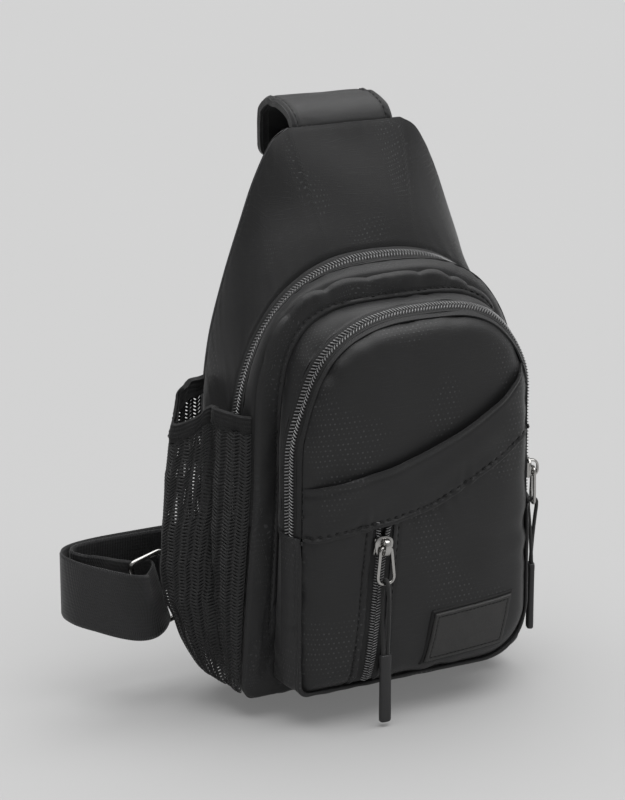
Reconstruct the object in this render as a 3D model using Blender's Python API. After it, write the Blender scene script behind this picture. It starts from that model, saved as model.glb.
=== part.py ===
"""Sling bag: a soft bag with two zipped compartments, worn on one strap.

Sizes are in metres. The bag is drawn from the middle of its base: X to the right seen from
the front, Y backwards from the front panel and Z upwards. One empty then moves the whole bag
so that the point under the strap's fold, where the bag hangs, lies at the origin.
"""

from collections import namedtuple

import bpy
import numpy as np

MM = 0.001

# Cloth and seams
CLOTH = 1.5 * MM
SEAM_GAP = 0.3 * MM
LAYER_GAP = 0.8 * MM

# Main compartment
MAIN_WIDTH = 184 * MM
MAIN_TOP = 237 * MM
MAIN_SPRING = 128 * MM
MAIN_CORNER = 9 * MM
MAIN_ARCH_POWER = 2.4
# The main front panel is narrower than the zip from the spring upwards, and its top is squarer
MAIN_PANEL_INSET = 5.5 * MM
MAIN_PANEL_POWER = 3.5
MAIN_PANEL_Y = 36.5 * MM
MAIN_ZIP_Y = 54.5 * MM
MAIN_ZIP_RISE = 7 * MM
ZIP_END_HEIGHT = 102 * MM
BACK_Y = 94 * MM
LINING = 1.2 * MM
BACK_FOAM = 5 * MM
FOAM_INSET = 5 * MM
# Outline of the back from the base to the top edge: heights, and how far it lies inside the main width
BACK_HEIGHTS = np.array([0, 4, 14, 30, 60, 100, 140, 170, 200, 230, 260, 285, 305, 312]) * MM
BACK_INSETS = np.array([9, 4, 1, 0, -1, -1, 0, 1.5, 6, 14.5, 25, 34.5, 45.5, 56]) * MM

# Front compartment
FRONT_REAR_WIDTH = 156 * MM
FRONT_WIDTH = 146 * MM
FRONT_BASE = 10.5 * MM
FRONT_REAR_TOP = 223 * MM
FRONT_TOP = 216 * MM
FRONT_SPRING = 128 * MM
FRONT_CORNER = 12 * MM
FRONT_ARCH_POWER = 2.7
# The front compartment's rear seam is set in behind its zip, and its top is squarer
FRONT_SEAM_INSET = 6.5 * MM
FRONT_SEAM_POWER = 4.1
FRONT_PANEL_Y = 8 * MM
FRONT_CROWN = 7 * MM
FRONT_SLOPE_Y = 24 * MM
FRONT_ZIP_Y = 17 * MM

# Slash pocket: the open edge and the stitched lower edge, as points across the front
SLASH_X = np.array([-73, -22, 12, 34, 52, 73]) * MM
SLASH_Z = np.array([130, 139, 150, 160, 172, 192]) * MM
STITCH_X = np.array([-73, -33, -17, 7, 35, 53, 73]) * MM
STITCH_Z = np.array([100, 105.5, 107.5, 113, 126, 135, 147]) * MM

# Zips
COIL_WIDTH = 6 * MM
COIL_HEIGHT = 2.2 * MM
TAPE = 1.2 * MM
TAPE_SHOWN = 2.2 * MM
POCKET_ZIP_X = -28 * MM
POCKET_ZIP_LEAN = -0.095
POCKET_ZIP_TOP_GAP = 1 * MM
POCKET_ZIP_FOOT = 16 * MM
POCKET_TAPE_WIDTH = 3 * MM
TOP_STOP_LENGTH = 3 * MM
POCKET_SLIDER_Z = 94 * MM
SIDE_SLIDER_Z = 118 * MM

# Slider bodies and pulls
SLIDER_WIDTH = 9.4 * MM
SLIDER_LENGTH = 11 * MM
SLIDER_PLATE = 1.4 * MM
SLIDER_FLANGE = 0.9 * MM
SLIDER_CLEAR = 0.35 * MM
BRIDGE_WIDTH = 2.6 * MM
BRIDGE_BAR = 1.4 * MM
BRIDGE_HOLE = 2.6 * MM
BRIDGE_RISE = 4 * MM
PULL_ROUNDING = 0.3 * MM
RING_LENGTH = 21 * MM
RING_TOP_WIDTH = 6 * MM
RING_FOOT_WIDTH = 10 * MM
RING_WIRE = 1.9 * MM
CORD_WIDTH = 2.2 * MM
CORD_SPREAD = 2.8 * MM
POCKET_CORD_LENGTH = 42 * MM
SIDE_CORD_LENGTH = 37 * MM
TAB_LENGTH = 40 * MM
TAB_WIDTH = 7 * MM
TAB_THICK = 4 * MM

# Label patch: a slanted patch low on the right of the front
PATCH_WIDTH = 51.5 * MM
PATCH_HEIGHT = 29 * MM
PATCH_LEAN = 6 * MM
PATCH_RISE = 2.5 * MM
PATCH_THICK = 1.6 * MM
PATCH_X = 29 * MM
PATCH_Z = 34.5 * MM

# Mesh side pocket
POCKET_FOOT = 4 * MM
POCKET_MESH = 1.4 * MM
POCKET_BULGE = 7 * MM
POCKET_REAR_LOBE = 26 * MM
POCKET_FRONT_LOBE = 6 * MM
POCKET_CREASE = 0.42
POCKET_SEAT = 0.5 * MM
# Share of the pocket's height in which it fills out, its fullness at the foot and how far its mouth draws in
POCKET_FILL = 0.4
POCKET_FOOT_FULLNESS = 0.02
POCKET_DRAW_IN = 0.08
# Wavy mouth of the mesh pocket, as shares from its front seam to its rear seam and heights
MOUTH_SHARES = np.array([0, 0.35, 0.65, 0.85, 1])
MOUTH_HEIGHTS = np.array([168, 170, 149, 158, 175]) * MM
ELASTIC_HEIGHT = 11 * MM
ELASTIC_THICK = 2.4 * MM

# Top strap
STRAP_WIDTH = 64 * MM
STRAP_THICK = 4 * MM
STRAP_FOLD_RADIUS = 16 * MM
STRAP_RISE = 8 * MM
STRAP_REACH = 32 * MM
STRAP_DROP = 22 * MM
STRAP_END_CORNER = 9 * MM

# Webbing, its ring and its adjuster
WEBBING_WIDTH = 38 * MM
WEBBING = 1.5 * MM
WEBBING_Z = 62 * MM
WEBBING_Y = 120.2 * MM
RING_STANDOFF = 28 * MM
RING_SET_BACK = 5 * MM
RING_Z = 51 * MM
RING_TILT = np.radians(16)
RING_INSIDE = 40 * MM
RING_SHORT = 21 * MM
STRAP_RING_WIRE = 3 * MM
ADJUSTER_X = -77.5 * MM
ADJUSTER_SPAN = 30 * MM
ADJUSTER_BAR = 5 * MM
ADJUSTER_THICK = 2.4 * MM
ADJUSTER_RAIL = 2.6 * MM
ADJUSTER_CLEAR = 1.2 * MM

# How finely curves and panels are divided
ARCH_STEPS = 25
CORNER_STEPS = 5
SMOOTH_STEPS = 3
BASE_STEPS = 45
SHIELD_ROWS = 5
PANEL_STEPS = 9
PANEL_CROP = 0.999
PANEL_COLUMNS = 17
FACING_ROWS = 6
EDGE_ROUNDS = 40
POCKET_COLUMNS = 15
POCKET_ROWS = 11
POCKET_ROW_EASE = 1.7
CORD_TURN_STEPS = 7
CORD_STEPS = 2
STRAP_TURN_STEPS = 7
TAB_ROUNDING = 0.8 * MM

# Sizes that follow from those above
MAIN_HALF = MAIN_WIDTH / 2
BACK_HALVES = MAIN_HALF - BACK_INSETS
MAIN_WALL_Y = MAIN_PANEL_Y + CLOTH + SEAM_GAP
FRONT_REAR_Y = MAIN_PANEL_Y - SEAM_GAP
BACK_TOP = BACK_HEIGHTS[-1]
BACK_FOAM_Y = BACK_Y + LINING + SEAM_GAP
BACK_COVER_Y = BACK_FOAM_Y + BACK_FOAM + SEAM_GAP
LAYER = CLOTH + LAYER_GAP
RING_CENTRE = np.array([-MAIN_HALF - RING_STANDOFF, BACK_Y + RING_SET_BACK, RING_Z])
FOLD_Y = BACK_Y + STRAP_REACH
FOLD_Z = BACK_TOP + STRAP_RISE - STRAP_FOLD_RADIUS + STRAP_THICK
STRAP_TOP = FOLD_Z + STRAP_FOLD_RADIUS
HANG_POINT = np.array([0, FOLD_Y, STRAP_TOP - STRAP_THICK])


# A tombstone outline: half widths at the spring and at the base, heights of the base, the spring
# and the top, the corners' radius and the power of the arch
Outline = namedtuple("Outline", "half foot bottom spring top corner power")


def new_material(name, colour, roughness, metallic=0.0):
    """Return a material with one colour, roughness and metallic value."""
    material = bpy.data.materials.new(name)
    material.use_nodes = True
    shader = material.node_tree.nodes["Principled BSDF"]
    shader.inputs["Base Color"].default_value = (*colour, 1.0)
    shader.inputs["Roughness"].default_value = roughness
    shader.inputs["Metallic"].default_value = metallic
    return material


def clear_scene():
    """Remove every object."""
    for item in list(bpy.data.objects):
        bpy.data.objects.remove(item, do_unlink=True)


def add_object(name, data, material, parent, place=(0, 0, 0)):
    """Link one object with its material under its parent."""
    item = bpy.data.objects.new(name, data)
    item.location = place
    item.parent = parent
    data.materials.append(material)
    bpy.context.scene.collection.objects.link(item)
    return item


def add_mesh(name, points, faces, material, parent, place=(0, 0, 0)):
    """Make a mesh object from points in bag coordinates, with its origin at place."""
    mesh = bpy.data.meshes.new(name)
    local = np.asarray(points, float) - np.asarray(place, float)
    mesh.from_pydata(local.tolist(), [], [list(face) for face in faces])
    mesh.validate()
    mesh.shade_smooth()
    mesh.set_sharp_from_angle(angle=np.radians(35))
    return add_object(name, mesh, material, parent, place)


def smooth_line(points, steps=SMOOTH_STEPS):
    """Return points on a smooth curve through the given ones, with steps per stretch."""
    points = np.asarray(points, float)
    before = np.vstack([2 * points[0] - points[1], points, 2 * points[-1] - points[-2]])
    share = np.linspace(0, 1, steps, endpoint=False)[:, None]
    runs = []
    for a, b, c, d in zip(before[:-3], before[1:-2], before[2:-1], before[3:]):
        run = 2 * b + (c - a) * share + (2 * a - 5 * b + 4 * c - d) * share**2
        runs.append((run + (3 * b - a - 3 * c + d) * share**3) / 2)
    return np.vstack(runs + [points[-1:]])


def resample(path, count):
    """Return count points at equal steps along a line of points."""
    steps = np.linalg.norm(np.diff(path, axis=0), axis=1)
    length = np.concatenate([[0], np.cumsum(steps)])
    wanted = np.linspace(0, length[-1], count)
    return np.stack([np.interp(wanted, length, path[:, k]) for k in range(path.shape[1])], axis=1)


def side_half(outline, z):
    """Return the half width of an outline's side at heights z, below its arch."""
    low = np.clip((outline.spring - z) / (outline.spring - outline.bottom), 0, 1)
    return outline.half + (outline.foot - outline.half) * low


def arch_path(outline, start):
    """Return (x, z) from the left foot up over the arch to the right foot."""
    turn = np.linspace(0, np.pi, ARCH_STEPS)
    rise = outline.top - outline.spring
    x = -outline.half * np.sign(np.cos(turn)) * np.abs(np.cos(turn)) ** (2 / outline.power)
    z = outline.spring + rise * np.sin(turn).clip(0) ** (2 / outline.power)
    arch = np.stack([x, z], axis=1)
    foot = side_half(outline, start)
    return np.vstack([[[-foot, start]], arch, [[foot, start]]])


def base_path(outline, end):
    """Return (x, z) from the left end down round both bottom corners to the right end."""
    turn = np.linspace(0, np.pi / 2, CORNER_STEPS)
    z = outline.bottom + outline.corner * (1 - np.sin(turn))
    x = -side_half(outline, z) + outline.corner * (1 - np.cos(turn))
    left = np.vstack([[[-side_half(outline, end), end]], np.stack([x, z], axis=1)])
    right = left[::-1] * [-1, 1]
    return np.vstack([left, right])


def outward(path, side):
    """Return the unit normals of a path in its plane; side is 1 over an arch, -1 under a base."""
    run = np.gradient(path, axis=0)
    normal = np.stack([-run[:, 1], run[:, 0]], axis=1) * side
    return normal / np.linalg.norm(normal, axis=1)[:, None]


def place_path(path, y):
    """Return a flat (x, z) path as points at one depth."""
    return np.stack([path[:, 0], np.full(len(path), y), path[:, 1]], axis=1)


def closed_body(outer, inner):
    """Join two grids of points, front and back, into one closed body.

    The grids have the same shape. Seen from outside, rows run to the right and columns up.
    """
    rows, columns, _ = outer.shape
    points = np.vstack([outer.reshape(-1, 3), inner.reshape(-1, 3)])
    index = np.arange(rows * columns).reshape(rows, columns)
    back = index + rows * columns
    faces = []
    for i in range(rows - 1):
        for j in range(columns - 1):
            a, b = index[i, j], index[i, j + 1]
            c, d = index[i + 1, j + 1], index[i + 1, j]
            faces.append((a, b, c, d))
            faces.append((back[i, j], back[i + 1, j], back[i + 1, j + 1], back[i, j + 1]))
    for j in range(columns - 1):
        faces.append((index[0, j + 1], index[0, j], back[0, j], back[0, j + 1]))
        faces.append((index[-1, j], index[-1, j + 1], back[-1, j + 1], back[-1, j]))
    for i in range(rows - 1):
        faces.append((index[i, 0], index[i + 1, 0], back[i + 1, 0], back[i, 0]))
        faces.append((index[i + 1, -1], index[i, -1], back[i, -1], back[i + 1, -1]))
    return points, faces


def face_out(points, faces):
    """Turn the faces of a closed body outwards, by the sign of its volume."""
    middle = points.mean(axis=0)
    volume = 0.0
    for face in faces:
        corners = points[list(face)] - middle
        for k in range(1, len(face) - 1):
            volume += np.dot(corners[0], np.cross(corners[k], corners[k + 1]))
    return faces if volume > 0 else [tuple(reversed(face)) for face in faces]


def add_shell(name, outer, inner, material, parent):
    """Make a closed body between two grids of points."""
    points, faces = closed_body(outer, inner)
    return add_mesh(name, points, face_out(points, faces), material, parent)


def add_band(name, edges, side, thick, material, parent, proud=0.0):
    """Make a band of cloth between paths at several depths.

    edges is a list of (path, depth). The band's outer face lies on the paths, moved outwards
    by proud, and its thickness runs inwards in the plane of each path.
    """
    outer = []
    inner = []
    for path, depth in edges:
        normal = outward(path, side)
        outer.append(place_path(path + normal * proud, depth))
        inner.append(place_path(path + normal * (proud - thick), depth))
    return add_shell(name, np.array(outer), np.array(inner), material, parent)


def add_ribbon(name, line, across, halves, thick, material, parent):
    """Make a flat strip along a line; across is the unit direction of its width at each point."""
    run = np.gradient(line, axis=0)
    run /= np.linalg.norm(run, axis=1)[:, None]
    across = across - run * np.sum(across * run, axis=1)[:, None]
    across /= np.linalg.norm(across, axis=1)[:, None]
    normal = np.cross(run, across)
    reach = across * np.broadcast_to(halves, len(line))[:, None]
    lift = normal * thick / 2
    outer = np.stack([line - reach + lift, line + reach + lift], axis=1)
    inner = np.stack([line - reach - lift, line + reach - lift], axis=1)
    return add_shell(name, outer, inner, material, parent)


def add_blocks(name, breaks, filled, material, parent, place, axes, bevel):
    """Make one closed body of rectangular cells.

    breaks holds the cell limits along three directions, filled says which cells are solid,
    and axes holds the three directions as unit vectors, all from place.
    """
    counts = [len(limits) - 1 for limits in breaks]
    solid = np.zeros([count + 2 for count in counts], bool)
    solid[1:-1, 1:-1, 1:-1] = filled
    corner_ids = {}
    points = []

    def corner(key):
        if key not in corner_ids:
            corner_ids[key] = len(points)
            points.append(sum(breaks[k][key[k]] * axes[k] for k in range(3)) + place)
        return corner_ids[key]

    faces = []
    for cell in np.argwhere(solid):
        for axis in range(3):
            for step in (-1, 1):
                beside = cell.copy()
                beside[axis] += step
                if solid[tuple(beside)]:
                    continue
                u, v = (axis + 1) % 3, (axis + 2) % 3
                ring = []
                for du, dv in ((0, 0), (1, 0), (1, 1), (0, 1)):
                    key = cell - 1
                    key[axis] += max(step, 0)
                    key[u] += du
                    key[v] += dv
                    ring.append(corner(tuple(key)))
                faces.append(tuple(ring if step > 0 else reversed(ring)))
    points = np.array(points)
    item = add_mesh(name, points, face_out(points, faces), material, parent, place)
    rounding = item.modifiers.new("rounded edges", "BEVEL")
    rounding.width = bevel
    rounding.segments = 1
    rounding.limit_method = "ANGLE"
    return item


def add_wire(name, line, wire, closed, material, parent, place):
    """Make a round wire or cord along a line of points, with its origin at place."""
    curve = bpy.data.curves.new(name, "CURVE")
    curve.dimensions = "3D"
    curve.bevel_depth = wire / 2
    curve.bevel_resolution = 1 if closed else 2
    curve.use_fill_caps = True
    spline = curve.splines.new("POLY")
    spline.points.add(len(line) - 1)
    for point, spot in zip(spline.points, line):
        point.co = (*(np.asarray(spot) - place), 1)
    spline.use_cyclic_u = closed
    return add_object(name, curve, material, parent, place)


def rounded_loop(corners, radius, steps=4):
    """Return a closed flat loop through corners, each rounded with the given radius."""
    corners = np.asarray(corners, float)
    loop = []
    for before, here, after in zip(np.roll(corners, 1, 0), corners, np.roll(corners, -1, 0)):
        to_before = (before - here) / np.linalg.norm(before - here)
        to_after = (after - here) / np.linalg.norm(after - here)
        opening = np.arccos(np.clip(to_before @ to_after, -1, 1))
        reach = radius / np.tan(opening / 2)
        share = np.linspace(0, 1, steps)[:, None]
        start, end = here + to_before * reach, here + to_after * reach
        loop.append((1 - share) ** 2 * start + 2 * share * (1 - share) * here + share**2 * end)
    return np.vstack(loop)


# Main compartment

def main_outline(y):
    """Return the main compartment's outline at depth y."""
    share = (y - MAIN_WALL_Y) / (MAIN_ZIP_Y - MAIN_WALL_Y)
    near = np.clip(1 - share, 0, 1)
    half = MAIN_HALF - MAIN_PANEL_INSET * near
    power = MAIN_ARCH_POWER + (MAIN_PANEL_POWER - MAIN_ARCH_POWER) * near
    top = MAIN_TOP + MAIN_ZIP_RISE * share
    return Outline(half, MAIN_HALF, 0.0, MAIN_SPRING, top, MAIN_CORNER, power)


def main_arch(y):
    """Return the main compartment's arch at depth y."""
    return arch_path(main_outline(y), ZIP_END_HEIGHT)


def back_half(z):
    """Return the back's half width at height z."""
    return np.interp(z, BACK_HEIGHTS, BACK_HALVES)


def back_side(low, high, count):
    """Return (x, z) up the back's left edge between two heights."""
    inside = BACK_HEIGHTS[(BACK_HEIGHTS > low) & (BACK_HEIGHTS < high)]
    z = np.concatenate([[low], inside, [high]])
    return resample(np.stack([-back_half(z), z], axis=1), count)


def make_back(finishes, bag):
    """Make the back's cover, foam and lining, each a plate with the back's outline."""

    def plate(name, y, thick, inset, finish):
        shrink = 1 - 2 * inset / BACK_TOP
        z = inset + BACK_HEIGHTS * shrink
        half = BACK_HALVES - inset
        edge = np.stack([half, np.full_like(z, y), z], axis=1)
        front = np.stack([edge * [-1, 1, 1], edge], axis=1)
        add_shell(name, front, front + [0, thick, 0], finish, bag)

    plate("back_lining", BACK_Y, LINING, 0.0, finishes["lining"])
    plate("back_foam", BACK_FOAM_Y, BACK_FOAM, FOAM_INSET, finishes["foam"])
    plate("back_cover", BACK_COVER_Y, CLOTH, 0.0, finishes["air_mesh"])


def make_shield(finishes, bag):
    """Make the shield: the panel from the main zip's rear tape up and back to the top edge."""
    front_y = MAIN_ZIP_Y + COIL_WIDTH / 2 + 2 * SEAM_GAP + TAPE_SHOWN
    rear_y = BACK_Y - SEAM_GAP
    arch = main_arch(front_y)
    count = len(arch) // 2 + 1
    front = resample(arch[:count], count)
    side = back_side(ZIP_END_HEIGHT, BACK_TOP, 3 * count)
    rear = resample(np.vstack([side, [[0, BACK_TOP]]]), count)
    left = np.stack([
        place_path(front + (rear - front) * share, front_y + (rear_y - front_y) * share)
        for share in np.linspace(0, 1, SHIELD_ROWS)
    ])
    outer = np.concatenate([left, left[:, -2::-1] * [-1, 1, 1]], axis=1)
    along = np.gradient(outer, axis=1)
    up = np.gradient(outer, axis=0)
    normal = np.cross(along, up)
    normal /= np.linalg.norm(normal, axis=2)[:, :, None]
    inner = outer - normal * CLOTH
    inner[:, :, 1] = inner[:, :, 1].clip(front_y, rear_y)
    inner[:, 0, 2] = outer[:, 0, 2]
    inner[:, -1, 2] = outer[:, -1, 2]
    add_shell("shield_panel", outer, inner, finishes["nylon"], bag)


def make_main_walls(finishes, bag):
    """Make the main front panel, the arched front gusset and the lower gusset."""
    panel = tombstone_grid(main_outline(MAIN_WALL_Y), 2)
    front = np.stack([panel[..., 0], np.full(panel.shape[:2], MAIN_PANEL_Y), panel[..., 1]], 2)
    add_shell("main_front_panel", front, front + [0, CLOTH, 0], finishes["nylon"], bag)

    tape_y = MAIN_ZIP_Y - COIL_WIDTH / 2 - SEAM_GAP - TAPE_SHOWN
    edges = [(main_arch(y), y) for y in (MAIN_WALL_Y, tape_y - SEAM_GAP)]
    add_band("main_gusset_front", edges, 1, CLOTH, finishes["nylon"], bag)

    end = ZIP_END_HEIGHT - SEAM_GAP
    front_edge = resample(base_path(main_outline(MAIN_WALL_Y), end), BASE_STEPS)
    side = back_side(0.0, end, 3 * BASE_STEPS)[::-1]
    rear_edge = resample(np.vstack([side, side[::-1] * [-1, 1]]), BASE_STEPS)
    edges = [(front_edge, MAIN_WALL_Y), (rear_edge, BACK_Y - SEAM_GAP)]
    add_band("main_gusset_lower", edges, -1, CLOTH, finishes["nylon"], bag)


def make_arched_zip(name, arch, depths, finishes, bag):
    """Make a zip round an arch: its two tapes and its coil.

    arch gives the path at a depth, and depths holds the outer limits of the front and rear
    tapes and the middle of the coil.
    """
    front, middle, rear = depths
    coil_front = middle - COIL_WIDTH / 2
    coil_rear = middle + COIL_WIDTH / 2
    tape = finishes["zip_tape"]
    front_edges = [(arch(y), y) for y in (front, coil_front - SEAM_GAP)]
    add_band(name + "_tape_front", front_edges, 1, TAPE, tape, bag)
    rear_edges = [(arch(y), y) for y in (coil_rear + SEAM_GAP, rear)]
    add_band(name + "_tape_rear", rear_edges, 1, TAPE, tape, bag)
    coil_edges = [(arch(y), y) for y in (coil_front, coil_rear)]
    proud = COIL_HEIGHT - TAPE
    add_band(name + "_coil", coil_edges, 1, COIL_HEIGHT, finishes["zip_coil"], bag, proud)


# Front compartment

def outline_half(z, outline):
    """Return a tombstone outline's half width at heights z."""
    arch = np.clip((z - outline.spring) / (outline.top - outline.spring), 0, 1)
    round_top = side_half(outline, z) * (1 - arch**outline.power) ** (1 / outline.power)
    low = np.clip((outline.bottom + outline.corner - z) / outline.corner, 0, 1)
    return round_top - outline.corner * (1 - np.sqrt(1 - low**2))


def crowded(start, end, count):
    """Return values between -1 and 1 that lie closer together towards those two limits."""
    return np.sin(np.linspace(start, end, count) * np.pi / 2)


def tombstone_grid(outline, columns):
    """Return a grid of (x, z) over a tombstone outline, rows from its base to its top."""
    turn = np.linspace(0, np.pi / 2, CORNER_STEPS)
    low = outline.bottom + outline.corner * (1 - np.cos(turn))
    rise = np.sin(np.linspace(0, np.pi / 2, PANEL_STEPS + 1)[:-1]) ** (2 / outline.power)
    high = outline.spring + (outline.top - outline.spring) * np.append(rise, PANEL_CROP)
    straight = low[-1] + (outline.spring - low[-1]) * np.linspace(0, 1, PANEL_STEPS // 2)[1:-1] ** 2
    z = np.concatenate([low, straight, high])
    reach = outline_half(z, outline)
    x = reach[:, None] * crowded(-1, 1, columns)
    return np.stack([x, np.broadcast_to(z[:, None], x.shape)], axis=2)


def front_half(z):
    """Return the front panel's half width at height z."""
    return outline_half(z, front_outline(FRONT_PANEL_Y))


def front_depth(x, z, layer=0.0):
    """Return the depth of the crowned front at (x, z), layer in front of the front panel."""
    across = np.clip(np.abs(x) / np.maximum(front_half(z), MM), 0, 1)
    middle = (FRONT_BASE + FRONT_TOP) / 2
    up = np.clip(np.abs(z - middle) / (FRONT_TOP - middle), 0, 1)
    return FRONT_PANEL_Y - layer - FRONT_CROWN * (1 - across**4) * (1 - up**12)


def front_outline(y):
    """Return the front compartment's outline at depth y."""
    near = np.clip((FRONT_SLOPE_Y - y) / (FRONT_SLOPE_Y - FRONT_PANEL_Y), 0, 1) ** 1.6
    far = np.clip((y - FRONT_SLOPE_Y) / (FRONT_REAR_Y - FRONT_SLOPE_Y), 0, 1)
    foot = (FRONT_REAR_WIDTH + (FRONT_WIDTH - FRONT_REAR_WIDTH) * near) / 2
    top = FRONT_REAR_TOP + (FRONT_TOP - FRONT_REAR_TOP) * near
    power = FRONT_ARCH_POWER + (FRONT_SEAM_POWER - FRONT_ARCH_POWER) * far
    half = foot - FRONT_SEAM_INSET * far
    return Outline(half, foot, FRONT_BASE, FRONT_SPRING, top, FRONT_CORNER, power)


def front_arch(y):
    """Return the front compartment's arch at depth y."""
    return arch_path(front_outline(y), ZIP_END_HEIGHT)


def front_base(y):
    """Return the front compartment's base at depth y."""
    return base_path(front_outline(y), ZIP_END_HEIGHT - SEAM_GAP)


def on_front(x, z, layer):
    """Return points of the crowned front at (x, z), layer in front of the front panel."""
    return np.stack([x, front_depth(x, z, layer), z], axis=-1)


def add_front_panel(name, x, z, layer, material, bag):
    """Make a cloth panel on the crowned front from a grid of (x, z)."""
    outer = on_front(x, z, layer)
    add_shell(name, outer, outer + [0, CLOTH, 0], material, bag)


def slash_height(x):
    """Return the height of the slash pocket's open edge at x."""
    return np.interp(x, *smooth_line(np.stack([SLASH_X, SLASH_Z], 1)).T)


def stitch_height(x):
    """Return the height of the slash pocket's stitched lower edge at x."""
    return np.interp(x, *smooth_line(np.stack([STITCH_X, STITCH_Z], 1)).T)


def zip_middle(z):
    """Return the pocket zip's x at height z; the zip leans a little."""
    return POCKET_ZIP_X + POCKET_ZIP_LEAN * (POCKET_SLIDER_Z - z)


def reach_at(height_of, side):
    """Return the x at which a line of heights meets the front panel's edge on one side."""
    x = side * FRONT_WIDTH / 2
    for _ in range(EDGE_ROUNDS):
        x = side * front_half(np.array(height_of(x)))
    return float(x)


def make_front_walls(finishes, bag):
    """Make the front panel and the gussets round it."""
    grid = tombstone_grid(front_outline(FRONT_PANEL_Y), PANEL_COLUMNS)
    add_front_panel("front_panel", grid[..., 0], grid[..., 1], 0.0, finishes["nylon"], bag)
    tape_y = FRONT_ZIP_Y + COIL_WIDTH / 2 + 2 * SEAM_GAP + TAPE_SHOWN
    edges = [(front_arch(y), y) for y in (tape_y, FRONT_REAR_Y)]
    add_band("front_gusset_upper", edges, 1, CLOTH, finishes["nylon"], bag)
    front_y = FRONT_PANEL_Y + CLOTH + SEAM_GAP
    edges = [(front_base(y), y) for y in np.linspace(front_y, FRONT_REAR_Y, 4)]
    add_band("front_gusset_lower", edges, -1, CLOTH, finishes["nylon"], bag)


def make_pocket_panels(finishes, bag):
    """Make the slash pocket's facing and the two panels beside the pocket zip."""
    nylon = finishes["nylon"]
    rows = np.linspace(0, 1, FACING_ROWS)
    x_rows = []
    z_rows = []
    for share in rows:
        def height(x, share=share):
            return stitch_height(x) * (1 - share) + slash_height(x) * share
        left, right = reach_at(height, -1), reach_at(height, 1)
        x = (left + right) / 2 + (right - left) / 2 * crowded(-1, 1, PANEL_COLUMNS)
        x_rows.append(x)
        z_rows.append(height(x))
    add_front_panel("slash_pocket_facing", np.array(x_rows), np.array(z_rows), LAYER, nylon, bag)

    beside = COIL_WIDTH / 2 + POCKET_TAPE_WIDTH + 2 * SEAM_GAP
    turn = np.linspace(0, np.pi / 2, CORNER_STEPS)
    low = FRONT_BASE + FRONT_CORNER * (1 - np.cos(turn))
    for name, side in (("pocket_panel_left", -1), ("pocket_panel_right", 1)):
        x_rows = []
        z_rows = []
        shares = np.linspace(0, 1, FACING_ROWS) ** 2
        for foot in list(low) + list(shares[1:]):
            on_corner = len(x_rows) < CORNER_STEPS

            def height(x, foot=foot, on_corner=on_corner):
                top = stitch_height(x) - LAYER_GAP
                if on_corner:
                    return foot + 0 * top
                return low[-1] + (top - low[-1]) * foot
            edge = reach_at(height, side)
            inner = zip_middle(height(zip_middle(ZIP_END_HEIGHT))) + side * beside
            x = np.sort(inner + (edge - inner) * crowded(0, 1, PANEL_COLUMNS // 2))
            x_rows.append(x)
            z_rows.append(height(x))
        add_front_panel(name, np.array(x_rows), np.array(z_rows), LAYER, nylon, bag)


def make_pocket_zip(finishes, bag):
    """Make the leaning front pocket zip: two tapes, coil and top stop."""
    top = float(stitch_height(POCKET_ZIP_X)) - POCKET_ZIP_TOP_GAP
    stop_foot = top - TOP_STOP_LENGTH
    coil_half = COIL_WIDTH / 2

    def strip(name, low, high, left, right, thick, proud, material):
        z = np.linspace(low, high, FACING_ROWS)
        x = zip_middle(z)[:, None] + np.array([left, right])
        z = np.broadcast_to(z[:, None], x.shape)
        outer = on_front(x, z, LAYER)
        outer[..., 1] -= proud
        inner = outer + [0, thick, 0]
        add_shell(name, outer, inner, material, bag)

    tape = finishes["zip_tape"]
    far = coil_half + SEAM_GAP + POCKET_TAPE_WIDTH
    strip("pocket_zip_tape_left", POCKET_ZIP_FOOT, top, -far, -coil_half - SEAM_GAP, TAPE, 0, tape)
    strip("pocket_zip_tape_right", POCKET_ZIP_FOOT, top, coil_half + SEAM_GAP, far, TAPE, 0, tape)
    proud = COIL_HEIGHT - TAPE
    coil_top = stop_foot - SEAM_GAP
    strip("pocket_zip_coil", POCKET_ZIP_FOOT, coil_top, -coil_half, coil_half, COIL_HEIGHT, proud,
          finishes["zip_coil"])
    strip("pocket_zip_stop", stop_foot, top, -coil_half, coil_half, COIL_HEIGHT, proud,
          finishes["nickel"])


def make_patch(finishes, bag):
    """Make the bare label patch, a slanted plate on the right pocket panel."""
    share = np.linspace(-0.5, 0.5, FACING_ROWS)
    across, up = np.meshgrid(share, share)
    x = PATCH_X + across * PATCH_WIDTH + up * PATCH_LEAN
    z = PATCH_Z + up * PATCH_HEIGHT + across * PATCH_RISE
    outer = on_front(x, z, LAYER + SEAM_GAP + PATCH_THICK)
    add_shell("label_patch", outer, outer + [0, PATCH_THICK, 0], finishes["leather"], bag)


# Sliders and pulls

def zip_frame(middle, across, up):
    """Return a zip's seat point and its across, up and outward directions as unit vectors."""
    across = across / np.linalg.norm(across)
    up = up / np.linalg.norm(up)
    out = np.cross(across, up)
    return middle, across, up, out / np.linalg.norm(out)


def side_frame(outline_at, middle_y):
    """Return the frame of an arched zip's straight right run, at the slider's height."""
    front_x = side_half(outline_at(middle_y - COIL_WIDTH / 2), SIDE_SLIDER_Z)
    rear_x = side_half(outline_at(middle_y + COIL_WIDTH / 2), SIDE_SLIDER_Z)
    proud = COIL_HEIGHT - TAPE
    middle = np.array([(front_x + rear_x) / 2 + proud, middle_y, SIDE_SLIDER_Z])
    across = np.array([rear_x - front_x, COIL_WIDTH, 0])
    return zip_frame(middle, across, np.array([0, 0, 1.0]))


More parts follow.
